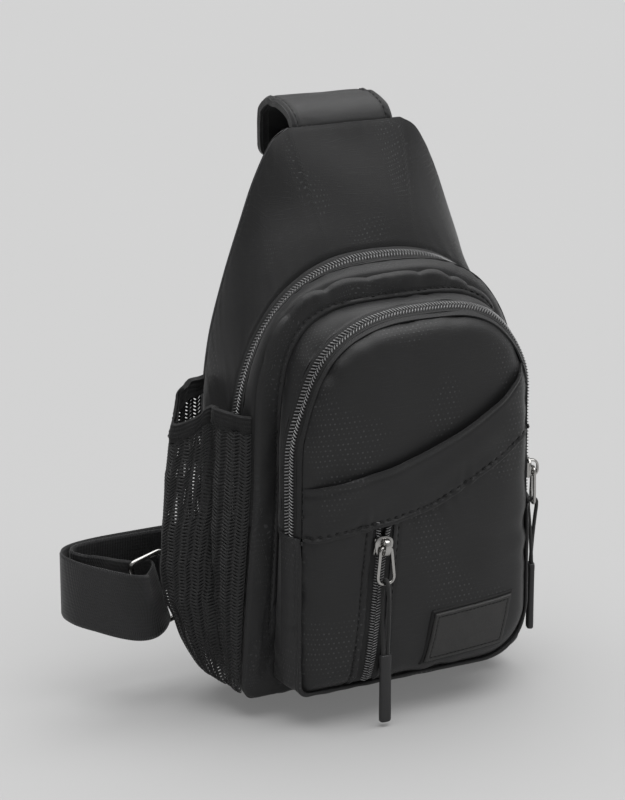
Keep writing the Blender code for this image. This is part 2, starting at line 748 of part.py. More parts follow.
def pocket_frame():
    """Return the frame of the front pocket zip at its slider."""
    x = zip_middle(POCKET_SLIDER_Z)
    y = front_depth(x, POCKET_SLIDER_Z, LAYER) - (COIL_HEIGHT - TAPE)
    middle = np.array([x, y, POCKET_SLIDER_Z])
    return zip_frame(middle, np.array([1.0, 0, POCKET_ZIP_LEAN]), np.array([-POCKET_ZIP_LEAN, 0, 1.0]))


def make_slider(name, frame, finishes, bag):
    """Make a slider body: a plate with two flanges astride the coil and a bridge on top."""
    middle, across, up, out = frame
    half = SLIDER_WIDTH / 2
    arm = BRIDGE_WIDTH / 2
    span = BRIDGE_HOLE / 2
    widths = [-half, -half + SLIDER_FLANGE, -arm, arm, half - SLIDER_FLANGE, half]
    lengths = [-SLIDER_LENGTH / 2, -span - BRIDGE_BAR, -span, span, span + BRIDGE_BAR, SLIDER_LENGTH / 2]
    flange_foot = SLIDER_CLEAR - (COIL_HEIGHT - TAPE)
    plate_top = SLIDER_CLEAR + SLIDER_PLATE
    bridge_foot = plate_top + BRIDGE_RISE
    heights = [flange_foot, SLIDER_CLEAR, plate_top, bridge_foot, bridge_foot + BRIDGE_BAR]
    filled = np.zeros((5, 5, 4), bool)
    filled[[0, 4], :, 0] = True
    filled[:, :, 1] = True
    filled[2, [1, 3], 2] = True
    filled[2, 1:4, 3] = True
    add_blocks(name, (widths, lengths, heights), filled, finishes["nickel"], bag, middle,
               (across, up, out), PULL_ROUNDING)


def make_pull(name, frame, cord_length, finishes, bag):
    """Make a pull: a wire ring hung in the slider's bridge, a looped cord and a tab."""
    middle, _, _, out = frame
    down = np.array([0, 0, -1.0])
    level = np.cross(out, down)
    level /= np.linalg.norm(level)
    pivot = middle + out * (SLIDER_CLEAR + SLIDER_PLATE + BRIDGE_RISE / 2)
    foot = pivot + down * RING_LENGTH
    corners = [pivot - level * RING_TOP_WIDTH / 2, pivot + level * RING_TOP_WIDTH / 2,
               foot + level * RING_FOOT_WIDTH / 2, foot - level * RING_FOOT_WIDTH / 2]
    add_wire(name + "_pull_ring", rounded_loop(corners, RING_WIRE), RING_WIRE, True,
             finishes["nickel"], bag, pivot)

    bend = (RING_WIRE + CORD_WIDTH) / 2 + SEAM_GAP
    apart = CORD_SPREAD / 2
    strand = [(cord_length - SEAM_GAP, 0.0, apart), (cord_length * 0.6, bend * 0.4, apart),
              (cord_length * 0.25, bend * 0.95, apart * 0.6), (0.0, bend, 0.0)]
    turn = np.linspace(0, np.pi, CORD_TURN_STEPS)
    over = [(-bend * np.sin(t), bend * np.cos(t), 0.0) for t in turn[1:-1]]
    route = strand + over + [(fall, -lean, -side) for fall, lean, side in strand[::-1]]
    line = np.array([foot + down * fall + out * lean + level * side for fall, lean, side in route])
    add_wire(name + "_pull_cord", smooth_line(line, CORD_STEPS), CORD_WIDTH, False,
             finishes["cord"], bag, foot)

    half_width, half_thick = TAB_WIDTH / 2, TAB_THICK / 2
    breaks = ([-half_width, half_width], [cord_length, cord_length + TAB_LENGTH],
              [-half_thick, half_thick])
    add_blocks(name + "_pull_tab", breaks, np.ones((1, 1, 1), bool), finishes["rubber"], bag, foot,
               (level, down, out), TAB_ROUNDING)


# Mesh side pocket

def wall_half(y, z):
    """Return the half width that clears the bag's side wall at depth y and height z."""
    panel = outline_half(z, main_outline(MAIN_WALL_Y))
    wall = np.maximum(back_half(z), panel)
    behind = np.clip((y - MAIN_WALL_Y) / (MAIN_ZIP_Y - MAIN_WALL_Y), 0, 1)
    return panel + (np.where(z > MAIN_SPRING, MAIN_HALF, wall) - panel) * behind


def pocket_bulge(share, rise):
    """Return how far the mesh pocket stands off the wall.

    One bow runs over the whole width, and two lobes lie on it either side of the crease. The
    pocket fills out quickly above its foot and draws in a little towards its mouth.
    """
    front = np.sin(np.pi * np.clip(share / POCKET_CREASE, 0, 1))
    rear = np.sin(np.pi * np.clip((share - POCKET_CREASE) / (1 - POCKET_CREASE), 0, 1))
    bow = POCKET_BULGE * np.sin(np.pi * share)
    fullness = np.clip(rise / POCKET_FILL, POCKET_FOOT_FULLNESS, 1)
    fill = np.sqrt(fullness) * (1 - POCKET_DRAW_IN * rise**4)
    return POCKET_SEAT + fill * (bow + POCKET_FRONT_LOBE * front + POCKET_REAR_LOBE * rear)


def add_pocket_layer(name, foot, head, rows, thick, material, bag):
    """Make one layer of the mesh pocket between two lines of heights."""
    share = np.linspace(0, 1, POCKET_COLUMNS)
    mouth = np.interp(share, *smooth_line(np.stack([MOUTH_SHARES, MOUTH_HEIGHTS], 1)).T)
    low, high = foot(mouth), head(mouth)
    y = MAIN_WALL_Y + CLOTH + (BACK_Y - MAIN_WALL_Y - 2 * CLOTH) * share
    z = low + (high - low) * np.linspace(0, 1, rows)[:, None] ** POCKET_ROW_EASE
    y = np.broadcast_to(y, z.shape)
    rise = (z - POCKET_FOOT) / (mouth - POCKET_FOOT)
    stand = pocket_bulge(np.broadcast_to(share, z.shape), rise)
    wall = wall_half(y, z)
    outer = np.stack([-wall - stand - thick, y, z], axis=2)
    inner = np.stack([-wall - stand, y, z], axis=2)
    add_shell(name, outer, inner, material, bag)


def make_mesh_pocket(finishes, bag):
    """Make the mesh pocket on the left wall and the elastic round its mouth."""
    add_pocket_layer("mesh_pocket", lambda mouth: POCKET_FOOT + 0 * mouth,
                     lambda mouth: mouth - ELASTIC_HEIGHT - SEAM_GAP, POCKET_ROWS, POCKET_MESH,
                     finishes["mesh"], bag)
    add_pocket_layer("mesh_pocket_elastic", lambda mouth: mouth - ELASTIC_HEIGHT,
                     lambda mouth: mouth, 2, ELASTIC_THICK, finishes["elastic"], bag)


# Strap

def make_top_strap(finishes, bag):
    """Make the padded top strap, sewn into the top seam and folded over behind the bag.

    Its root stands on the foam, between the lining and the cover. Returns the depth of the
    face that looks at the bag where the strap hangs down.
    """
    radius = STRAP_FOLD_RADIUS - STRAP_THICK / 2
    turn = np.linspace(np.pi / 2, 0, STRAP_TURN_STEPS)
    fold = np.stack([FOLD_Y + radius * np.cos(turn), FOLD_Z + radius * np.sin(turn)], axis=1)
    root_y = (BACK_Y + LINING + BACK_COVER_Y) / 2
    root = np.array([[root_y, BACK_TOP - FOAM_INSET + SEAM_GAP], [root_y, BACK_TOP]])
    bow = np.array([[root_y * 0.8 + FOLD_Y * 0.2, BACK_TOP * 0.4 + fold[0, 1] * 0.6],
                    [root_y * 0.4 + FOLD_Y * 0.6, BACK_TOP * 0.05 + fold[0, 1] * 0.95]])
    drop = fold[-1, 1] - STRAP_DROP * np.array([0.3, 0.65, 0.85, 1.0])
    tail = np.stack([np.full(4, fold[-1, 0]), drop], axis=1)
    line = np.vstack([root, bow, fold, tail])
    points = np.stack([np.zeros(len(line)), line[:, 0], line[:, 1]], axis=1)
    left = np.clip((line[:, 1] - drop[-1]) / STRAP_END_CORNER, 0, 1)
    round_off = STRAP_END_CORNER * (1 - np.sqrt(1 - (1 - left) ** 2))
    halves = np.full(len(line), STRAP_WIDTH / 2)
    halves[-4:] -= round_off[-4:]
    across = np.broadcast_to([1.0, 0, 0], points.shape)
    add_ribbon("top_strap", points, across, halves, STRAP_THICK, finishes["nylon"], bag)
    return fold[-1, 0] - STRAP_THICK / 2


def make_webbing(strap_face_y, finishes, bag):
    """Make the webbing's long run: down from the strap, out to the left and round the ring.

    Each line of the route holds the middle of the webbing and the direction of its width.
    """
    head_y = strap_face_y - LAYER_GAP - WEBBING / 2
    level = (0, 0, 1)
    tilt = (-np.sin(RING_TILT), 0, np.cos(RING_TILT))
    flat = (0, 1, 0)
    mid_y = WEBBING_Y
    mid_z = WEBBING_Z
    ring_x = RING_CENTRE[0]
    route = [
        ((0, head_y, FOLD_Z - STRAP_DROP / 4), (1, 0, 0)),
        ((0, head_y, FOLD_Z - STRAP_DROP), (1, 0, 0)),
        ((2 * MM, head_y - 2 * MM, 250 * MM), (1, 0.15, 0)),
        ((9 * MM, mid_y + 11 * MM, 215 * MM), (0.85, 0.5, 0)),
        ((22 * MM, mid_y + 8 * MM, 180 * MM), (0.4, 0.9, 0)),
        ((33 * MM, mid_y + 7 * MM, 148 * MM), flat),
        ((36 * MM, mid_y + 7 * MM, 116 * MM), flat),
        ((26 * MM, mid_y + 7 * MM, mid_z + 26 * MM), flat),
        ((6 * MM, mid_y + 6 * MM, mid_z + 8 * MM), (0, 0.95, 0.3)),
        ((-14 * MM, mid_y + 3 * MM, mid_z + 1 * MM), (0, 0.6, 0.8)),
        ((-38 * MM, mid_y, mid_z), level),
        ((-48 * MM, mid_y, mid_z), level),
        ((-60 * MM, mid_y, mid_z), level),
        ((-90 * MM, mid_y, mid_z), level),
        ((ring_x, mid_y, mid_z), level),
        ((ring_x - 30 * MM, mid_y - 1 * MM, mid_z), level),
        ((ring_x - 48 * MM, mid_y - 6 * MM, mid_z), level),
        ((ring_x - 55.5 * MM, mid_y - 17 * MM, mid_z), level),
        ((ring_x - 51 * MM, mid_y - 29.5 * MM, mid_z - 2 * MM), level),
        ((ring_x - 38 * MM, mid_y - 38 * MM, mid_z - 6 * MM), (-0.08, 0, 1)),
        ((ring_x - 23 * MM, mid_y - 41 * MM, mid_z - 11 * MM), (-0.2, 0, 1)),
        ((ring_x - 10 * MM, mid_y - 37.5 * MM, mid_z - 13.8 * MM), tilt),
        ((ring_x - 1 * MM, mid_y - 30 * MM, mid_z - 11.3 * MM), tilt),
        ((ring_x + 2.4 * MM, mid_y - 22 * MM, mid_z - 10.3 * MM), tilt),
        ((ring_x - 1.5 * MM, mid_y - 15.5 * MM, mid_z - 11.4 * MM), tilt),
        ((ring_x - 11 * MM, mid_y - 14 * MM, mid_z - 13.5 * MM), tilt),
        ((ring_x - 26 * MM, mid_y - 17 * MM, mid_z - 9 * MM), (-0.15, 0, 1)),
        ((ring_x - 38 * MM, mid_y - 19.5 * MM, mid_z - 4 * MM), level),
        ((ring_x - 46 * MM, mid_y - 18.2 * MM, mid_z - 1 * MM), level),
        ((ring_x - 48.3 * MM, mid_y - 12.7 * MM, mid_z), level),
        ((ring_x - 43 * MM, mid_y - 7 * MM, mid_z), level),
        ((ring_x - 30 * MM, mid_y - 4.5 * MM, mid_z), level),
    ]
    line = smooth_line([spot for spot, _ in route])
    across = smooth_line([width for _, width in route])
    add_ribbon("webbing", line, across, WEBBING_WIDTH / 2, WEBBING, finishes["webbing"], bag)
    return line[-1]


def make_adjuster(tail_start, finishes, bag):
    """Make the strap adjuster and the webbing's tail, sewn round its middle bar.

    The webbing runs straight between the middle bar, in front of it, and the two outer bars.
    """
    half_web = WEBBING / 2
    bar_rear = WEBBING_Y - half_web - 2 * SEAM_GAP - WEBBING - SEAM_GAP
    bar_front = bar_rear - ADJUSTER_THICK
    outer_front = WEBBING_Y + half_web + SEAM_GAP
    place = np.array([ADJUSTER_X, WEBBING_Y, WEBBING_Z])
    half = ADJUSTER_SPAN / 2
    bar = ADJUSTER_BAR / 2
    inside = WEBBING_WIDTH / 2 + ADJUSTER_CLEAR
    x_breaks = [-half, -half + ADJUSTER_BAR, -bar, bar, half - ADJUSTER_BAR, half]
    y_breaks = [bar_front - WEBBING_Y, bar_rear - WEBBING_Y, outer_front - WEBBING_Y,
                outer_front - WEBBING_Y + ADJUSTER_THICK]
    z_breaks = [-inside - ADJUSTER_RAIL, -inside, inside, inside + ADJUSTER_RAIL]
    filled = np.zeros((5, 3, 3), bool)
    filled[:, :, [0, 2]] = True
    filled[2, 0, 1] = True
    filled[[0, 4], 2, 1] = True
    add_blocks("strap_adjuster", (x_breaks, y_breaks, z_breaks), filled, finishes["plastic"], bag,
               place, np.eye(3), PULL_ROUNDING)

    middle_y = (bar_front + bar_rear) / 2
    radius = ADJUSTER_THICK / 2 + SEAM_GAP + half_web
    end_x = ADJUSTER_X + bar + SEAM_GAP
    turn = np.linspace(-np.pi / 2, np.pi / 2, STRAP_TURN_STEPS)
    loop = np.stack([end_x + radius * np.cos(turn), middle_y + radius * np.sin(turn)], axis=1)
    near = ADJUSTER_X - half - SEAM_GAP
    run = [(tail_start[0] + SEAM_GAP, tail_start[1]), ((tail_start[0] + near) / 2, middle_y),
           (near, middle_y - radius)]
    flat = np.vstack([run, loop, [(near, middle_y + radius)]])
    line = np.stack([flat[:, 0], flat[:, 1], np.full(len(flat), WEBBING_Z)], axis=1)
    across = np.broadcast_to([0, 0, 1.0], line.shape)
    add_ribbon("webbing_tail", line, across, WEBBING_WIDTH / 2, WEBBING, finishes["webbing"], bag)


def make_strap_ring(finishes, bag):
    """Make the tilted wire ring and the webbing tab that holds it at the bag's lower corner."""
    short = np.array([np.cos(RING_TILT), 0, np.sin(RING_TILT)])
    long = np.array([-np.sin(RING_TILT), 0, np.cos(RING_TILT)])
    reach = (RING_INSIDE + STRAP_RING_WIRE) / 2
    bar = RING_CENTRE + short * RING_SHORT / 2
    far = RING_CENTRE - short * RING_SHORT / 2
    corners = [bar + long * reach, bar - long * reach, far - long * reach, far + long * reach]
    add_wire("strap_ring", rounded_loop(corners, STRAP_RING_WIRE), STRAP_RING_WIRE, True,
             finishes["nickel"], bag, bar)

    lift = (STRAP_RING_WIRE + WEBBING) / 2 + SEAM_GAP
    turn = np.linspace(-np.pi / 2, -3 * np.pi / 2, STRAP_TURN_STEPS)
    wrap = [bar + short * lift * np.cos(t) + np.array([0, lift * np.sin(t), 0]) for t in turn]
    root_x = -back_half(RING_CENTRE[2]) - SEAM_GAP
    root = bar + short * (root_x - bar[0]) / short[0]
    root[1] = BACK_FOAM_Y + BACK_FOAM / 2
    middle = (root + bar) / 2
    near = [root - [0, WEBBING, 0], middle - [0, lift * 0.9, 0]]
    back = [middle + [0, lift * 0.9, 0], root + [0, WEBBING, 0]]
    line = np.array(near + wrap + back)
    across = np.array([[0, 0, 1.0]] + [long] * (len(line) - 2) + [[0, 0, 1.0]])
    add_ribbon("ring_tab", line, across, WEBBING_WIDTH / 2, WEBBING, finishes["webbing"], bag)


def make_finishes():
    """Return the bag's materials by name."""
    return {
        "nylon": new_material("black_nylon", (0.018, 0.018, 0.019), 0.55),
        "lining": new_material("lining_cloth", (0.03, 0.03, 0.032), 0.7),
        "foam": new_material("back_padding", (0.06, 0.06, 0.06), 0.9),
        "air_mesh": new_material("back_air_mesh", (0.02, 0.02, 0.021), 0.85),
        "mesh": new_material("pocket_netting", (0.02, 0.02, 0.021), 0.7),
        "elastic": new_material("binding_elastic", (0.022, 0.022, 0.023), 0.7),
        "webbing": new_material("strap_webbing", (0.022, 0.022, 0.023), 0.6),
        "zip_tape": new_material("zip_tape", (0.016, 0.016, 0.017), 0.8),
        "zip_coil": new_material("zip_coil", (0.05, 0.05, 0.052), 0.35),
        "nickel": new_material("plated_nickel", (0.55, 0.54, 0.52), 0.25, 1.0),
        "cord": new_material("pull_cord", (0.02, 0.02, 0.02), 0.7),
        "rubber": new_material("pull_rubber", (0.03, 0.03, 0.03), 0.5),
        "leather": new_material("patch_leather", (0.025, 0.024, 0.023), 0.5),
        "plastic": new_material("adjuster_plastic", (0.02, 0.02, 0.02), 0.4),
    }


def main():
    """Build the whole bag under one empty."""
    clear_scene()
    finishes = make_finishes()
    bag = bpy.data.objects.new("bag", None)
    bag.location = -HANG_POINT
    bpy.context.scene.collection.objects.link(bag)

    make_back(finishes, bag)
    make_shield(finishes, bag)
    make_main_walls(finishes, bag)
    main_front = MAIN_ZIP_Y - COIL_WIDTH / 2 - SEAM_GAP - TAPE_SHOWN
    main_rear = MAIN_ZIP_Y + COIL_WIDTH / 2 + SEAM_GAP + TAPE_SHOWN
    make_arched_zip("main_zip", main_arch, (main_front, MAIN_ZIP_Y, main_rear), finishes, bag)
    make_front_walls(finishes, bag)
    front_front = FRONT_PANEL_Y + CLOTH + SEAM_GAP
    front_rear = FRONT_ZIP_Y + COIL_WIDTH / 2 + SEAM_GAP + TAPE_SHOWN
    make_arched_zip("front_zip", front_arch, (front_front, FRONT_ZIP_Y, front_rear), finishes, bag)
    make_pocket_panels(finishes, bag)
    make_pocket_zip(finishes, bag)
    make_patch(finishes, bag)
    zips = {
        "main_zip": (side_frame(main_outline, MAIN_ZIP_Y), SIDE_CORD_LENGTH),
        "front_zip": (side_frame(front_outline, FRONT_ZIP_Y), SIDE_CORD_LENGTH),
        "pocket_zip": (pocket_frame(), POCKET_CORD_LENGTH),
    }
    for name, (frame, cord_length) in zips.items():
        make_slider(name + "_slider", frame, finishes, bag)
        make_pull(name, frame, cord_length, finishes, bag)
    make_mesh_pocket(finishes, bag)
    strap_face_y = make_top_strap(finishes, bag)
    tail_start = make_webbing(strap_face_y, finishes, bag)
    make_adjuster(tail_start, finishes, bag)
    make_strap_ring(finishes, bag)


main()
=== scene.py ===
"""The looks of a sling bag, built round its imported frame.

Lengths are millimetres in bag space until a mesh is made: X to the right seen from the front, Y
backwards from the front panel and Z up from the base. BagSpace turns them into the frame's metres.
"""

import logging
from dataclasses import dataclass, field
from enum import Enum
from typing import Callable, Optional, Sequence

import bpy
import numpy as np
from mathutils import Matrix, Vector


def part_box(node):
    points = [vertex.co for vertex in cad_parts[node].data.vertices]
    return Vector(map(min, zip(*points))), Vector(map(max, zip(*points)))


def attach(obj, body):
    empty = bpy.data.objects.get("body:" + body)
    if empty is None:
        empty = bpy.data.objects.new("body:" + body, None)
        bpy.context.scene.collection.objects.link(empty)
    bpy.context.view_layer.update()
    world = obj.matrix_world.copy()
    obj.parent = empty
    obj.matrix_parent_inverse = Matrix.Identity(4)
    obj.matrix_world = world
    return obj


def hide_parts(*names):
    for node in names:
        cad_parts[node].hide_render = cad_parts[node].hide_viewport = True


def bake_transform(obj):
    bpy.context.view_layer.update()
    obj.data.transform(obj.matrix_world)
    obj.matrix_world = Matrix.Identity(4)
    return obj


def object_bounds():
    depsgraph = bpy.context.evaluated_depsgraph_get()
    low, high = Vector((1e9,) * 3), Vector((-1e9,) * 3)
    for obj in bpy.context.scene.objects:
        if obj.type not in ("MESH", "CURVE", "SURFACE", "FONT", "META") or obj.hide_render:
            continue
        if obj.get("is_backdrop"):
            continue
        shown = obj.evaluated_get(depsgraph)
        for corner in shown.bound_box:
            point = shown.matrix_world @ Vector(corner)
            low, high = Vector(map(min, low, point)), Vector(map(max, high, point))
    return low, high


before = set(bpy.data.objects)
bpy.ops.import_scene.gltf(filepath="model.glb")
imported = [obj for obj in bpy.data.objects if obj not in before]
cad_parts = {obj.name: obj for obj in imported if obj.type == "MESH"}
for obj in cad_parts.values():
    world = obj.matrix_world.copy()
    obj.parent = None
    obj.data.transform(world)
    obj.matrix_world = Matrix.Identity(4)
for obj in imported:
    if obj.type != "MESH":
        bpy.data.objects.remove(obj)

LOG = logging.getLogger("sling_bag")
MM = 0.001
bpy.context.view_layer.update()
Grid = np.ndarray
Socket = bpy.types.NodeSocket
Item = bpy.types.Object
Material = bpy.types.Material
SIDEWAYS = np.array([1.0, 0, 0])
FORWARDS = np.array([0, -1.0, 0])
BACKWARDS = np.array([0, 1.0, 0])
UPWARDS = np.array([0, 0, 1.0])
BAG_MIDDLE = np.array([0, 70.0, 120.0])
SEAM_GAP = 0.3
SEAM_POINTS = 700
MEETING_ROUNDS = 30


# Shader building

class Shade:
    """One material and short ways to add nodes to it."""

    def __init__(self, name: str) -> None:
        """Start a material with one Principled shader.

        Args:
            name: the material's name.
        """
        self.material = bpy.data.materials.new(name)
        self.material.use_nodes = True
        self.tree = self.material.node_tree
        self.shader = self.tree.nodes["Principled BSDF"]
        self._place: Optional[Socket] = None

    def node(self, kind: str, **settings: object) -> bpy.types.Node:
        """Add a node and set its properties.

        Args:
            kind: the node's type.
            settings: its properties.

        Returns:
            The new node.
        """
        made = self.tree.nodes.new(kind)
        for key, value in settings.items():
            setattr(made, key, value)
        return made

    def feed(self, target: Socket, value: object) -> None:
        """Link a socket to the target, or set the target to a constant.

        Args:
            target: the input.
            value: socket or constant.
        """
        if isinstance(value, Socket):
            self.tree.links.new(value, target)
        else:
            target.default_value = value

    def set(self, **values: object) -> None:
        """Set or link the shader's inputs, with underscores for spaces."""
        for key, value in values.items():
            self.feed(self.shader.inputs[key.replace("_", " ")], value)

    @property
    def cloth_place(self) -> Socket:
        """Read the piece's UV map.

        Returns:
            Millimetres along and up the cloth.
        """
        if self._place is None:
            self._place = self.node("ShaderNodeTexCoord").outputs["UV"]
        return self._place

    def solid_place(self) -> Socket:
        """Object coordinates in metres."""
        return self.node("ShaderNodeTexCoord").outputs["Object"]

    def math(self, kind: str, a: object, b: object = 0.0, c: object = 0.0) -> Socket:
        """Add a Math node.

        Args:
            kind: the operation.
            a: first value or socket.
            b: second value or socket.
            c: third value or socket.

        Returns:
            The node's output.
        """
        made = self.node("ShaderNodeMath", operation=kind)
        for socket, value in zip(made.inputs, (a, b, c)):
            self.feed(socket, value)
        return made.outputs[0]

    def times(self, a: object, b: object) -> Socket:
        """Return a product."""
        return self.math("MULTIPLY", a, b)

    def added(self, a: object, b: object, c: object) -> Socket:
        """Return the product of a and b, with c added."""
        return self.math("MULTIPLY_ADD", a, b, c)

    def axes(self, place: Socket) -> tuple:
        """Return the place's X and Y as two sockets.

        Args:
            place: the coordinates.

        Returns:
            The two sockets.
        """
        made = self.node("ShaderNodeSeparateXYZ")
        self.feed(made.inputs[0], place)
        return made.outputs[0], made.outputs[1]

    def noise(self, place: Socket, scale: float, detail: float = 2.0) -> Socket:
        """Return a noise between 0 and 1.

        Args:
            place: the coordinates.
            scale: swells per unit of them.
            detail: finer layers.

        Returns:
            The noise's socket.
        """
        made = self.node("ShaderNodeTexNoise")
        self.feed(made.inputs["Vector"], place)
        made.inputs["Scale"].default_value = scale
        made.inputs["Detail"].default_value = detail
        return made.outputs["Fac"]

    def clouds(self, along: float, up: float, detail: float) -> Socket:
        """Return a noise over the cloth.

        Args:
            along: swells per millimetre along.
            up: swells per millimetre up.
            detail: finer layers.

        Returns:
            The noise's socket.
        """
        made = self.node("ShaderNodeVectorMath", operation="MULTIPLY")
        self.feed(made.inputs[0], self.cloth_place)
        made.inputs[1].default_value = (along, up, 1.0)
        return self.noise(made.outputs[0], 1.0, detail)

    def brick(self, pitch: float, rise: float) -> tuple:
        """Lay a brick grid over the cloth, every second row moved along by half a cell.

        Args:
            pitch: millimetres from column to column.
            rise: millimetres from row to row.

        Returns:
            The column, the row and the distance from the cell's middle, in cells.
        """
        u, v = self.axes(self.cloth_place)
        row = self.math("DIVIDE", v, rise)
        odd = self.times(self.math("MODULO", self.math("FLOOR", row), 2.0), 0.5)
        column = self.math("ADD", self.math("DIVIDE", u, pitch), odd)
        across = self.math("SUBTRACT", self.math("FRACT", column), 0.5)
        up = self.math("SUBTRACT", self.math("FRACT", row), 0.5)
        square = self.added(across, across, self.times(up, up))
        return column, row, self.math("SQRT", square)

    def ranged(self, value: object, low: float, high: float, to_low: float = 0.0,
               to_high: float = 1.0) -> Socket:
        """Return a value moved smoothly from one range to another.

        Args:
            value: number or socket.
            low: start of its range.
            high: end of its range.
            to_low: what low becomes.
            to_high: what high becomes.

        Returns:
            The moved value, held within its new range.
        """
        made = self.node("ShaderNodeMapRange", interpolation_type="SMOOTHSTEP")
        for socket, number in zip(made.inputs, (value, low, high, to_low, to_high)):
            self.feed(socket, number)
        return made.outputs[0]

    def wave(self, value: object, pitch: float) -> Socket:
        """Return a sine of the value with the given pitch, between 0 and 1."""
        turn = self.times(value, 2 * np.pi / pitch)
        return self.added(self.math("SINE", turn), 0.5, 0.5)

    def grey(self, value: Socket, dark: Sequence[float], light: Sequence[float]) -> Socket:
        """Return a colour between two by a value from 0 to 1.

        Args:
            value: share of the light one.
            dark: colour at 0.
            light: colour at 1.

        Returns:
            The colour's socket.
        """
        made = self.node("ShaderNodeMix", data_type="RGBA")
        self.feed(made.inputs["Factor"], value)
        made.inputs["A"].default_value = (*dark, 1.0)
        made.inputs["B"].default_value = (*light, 1.0)
        return made.outputs["Result"]

    def bump(self, height: Socket, depth: float, strength: float) -> None:
        """Let a height between 0 and 1 raise the surface by up to depth millimetres.

        Args:
            height: the relief.
            depth: millimetres from 0 to 1.
            strength: share of it that shows.
        """
        made = self.node("ShaderNodeBump")
        made.inputs["Strength"].default_value = strength
        made.inputs["Distance"].default_value = depth * MM
        self.feed(made.inputs["Height"], height)
        self.feed(self.shader.inputs["Normal"], made.outputs[0])


def scaled(colour: Sequence[float], share: float) -> tuple:
    """Return a colour made lighter or darker."""
    return tuple(channel * share for channel in colour)


@dataclass(frozen=True)
class DobbyNylon:
    """Black nylon with a satin face, fine slubs and patches of small raised dots."""

    name: str = "black_dobby_nylon"
    colour: tuple = (0.0145, 0.0145, 0.015)
    roughness: float = 0.46
    specular: float = 0.36
    sheen: float = 0.1
    dot_pitch: float = 3.0
    dot_size: float = 0.22
    dot_light: float = 3.4
    patch: tuple = (0.022, 0.017)
    patch_edge: tuple = (0.49, 0.6)
    slub: tuple = (0.09, 1.5)
    slub_edge: tuple = (0.52, 0.72)
    thread: float = 0.42
    depth: float = 0.16

    def make(self) -> Material:
        """Return the material.

        The cloth is a product of two sines, one per thread direction. Dots lie on a brick grid,
        shown only where a slow noise is high, and slubs are a noise stretched along the weft.

        Returns:
            The woven nylon.
        """
        shade = Shade(self.name)
        u, v = shade.axes(shade.cloth_place)
        column, row, far = shade.brick(self.dot_pitch, self.dot_pitch)
        dot = shade.ranged(far, self.dot_size, self.dot_size * 0.55)
        patch = shade.ranged(shade.clouds(*self.patch, 0.5), *self.patch_edge)
        chance = shade.node("ShaderNodeTexWhiteNoise", noise_dimensions="2D")
        cell = shade.node("ShaderNodeCombineXYZ")
        shade.feed(cell.inputs[0], shade.math("FLOOR", column))
        shade.feed(cell.inputs[1], shade.math("FLOOR", row))
        shade.feed(chance.inputs["Vector"], cell.outputs[0])
        shown = shade.ranged(chance.outputs["Value"], 0, 1, 0.25, 1.15)
        dots = shade.times(shade.times(dot, patch), shown)
        slub = shade.ranged(shade.clouds(*self.slub, 3.0), *self.slub_edge)
        threads = shade.times(shade.wave(u, self.thread), shade.wave(v, self.thread))
        light = shade.added(slub, 0.1, dots)
        shade.set(Base_Color=shade.grey(light, self.colour, scaled(self.colour, self.dot_light)),
                  Roughness=shade.added(dots, -0.1, self.roughness),
                  Specular_IOR_Level=self.specular, Sheen_Weight=self.sheen, Sheen_Roughness=0.4)
        height = shade.added(dots, 0.6, shade.times(slub, 0.35))
        shade.bump(shade.added(threads, 0.3, height), self.depth, 0.55)
        return shade.material


@dataclass(frozen=True)
class RibbedCloth:
    """A narrow woven cloth with ribs across it and finer lines along it."""

    name: str
    colour: tuple
    rib: float
    line: float
    depth: float
    roughness: float = 0.6
    sheen: float = 0.15

    def make(self) -> Material:
        """Return the material; ribs are sines along U and lines are sines along V.

        Returns:
            The ribbed cloth.
        """
        shade = Shade(self.name)
        u, v = shade.axes(shade.cloth_place)
        ribs = shade.wave(u, self.rib)
        lines = shade.wave(v, self.line)
        wear = shade.clouds(0.3, 0.3, 3.0)
        height = shade.added(lines, 0.5, ribs)
        tone = shade.added(wear, 0.5, shade.times(height, 0.35))
        shade.set(Base_Color=shade.grey(tone, scaled(self.colour, 0.75), scaled(self.colour, 1.3)),
                  Roughness=self.roughness, Specular_IOR_Level=0.35, Sheen_Weight=self.sheen,
                  Sheen_Roughness=0.4)
        shade.bump(height, self.depth, 0.7)
        return shade.material


@dataclass(frozen=True)
class SpacerMesh:
    """Padded mesh cloth of the bag's back: small round holes on a brick grid."""

    name: str = "back_spacer_mesh"
    colour: tuple = (0.018, 0.018, 0.019)
    pitch: float = 3.0
    rise: float = 2.61

    def make(self) -> Material:
        """Return the material; each hole is a dark dip where the distance to a grid point is small.

        Returns:
            The padded back's mesh.
        """
        shade = Shade(self.name)
        _, _, far = shade.brick(self.pitch, self.rise)
        yarn = shade.ranged(far, 0.2, 0.38)
        shade.set(Base_Color=shade.grey(yarn, scaled(self.colour, 0.25), scaled(self.colour, 1.35)),
                  Roughness=0.8, Specular_IOR_Level=0.2, Sheen_Weight=0.2, Sheen_Roughness=0.5)
        shade.bump(yarn, 0.7, 0.8)
        return shade.material


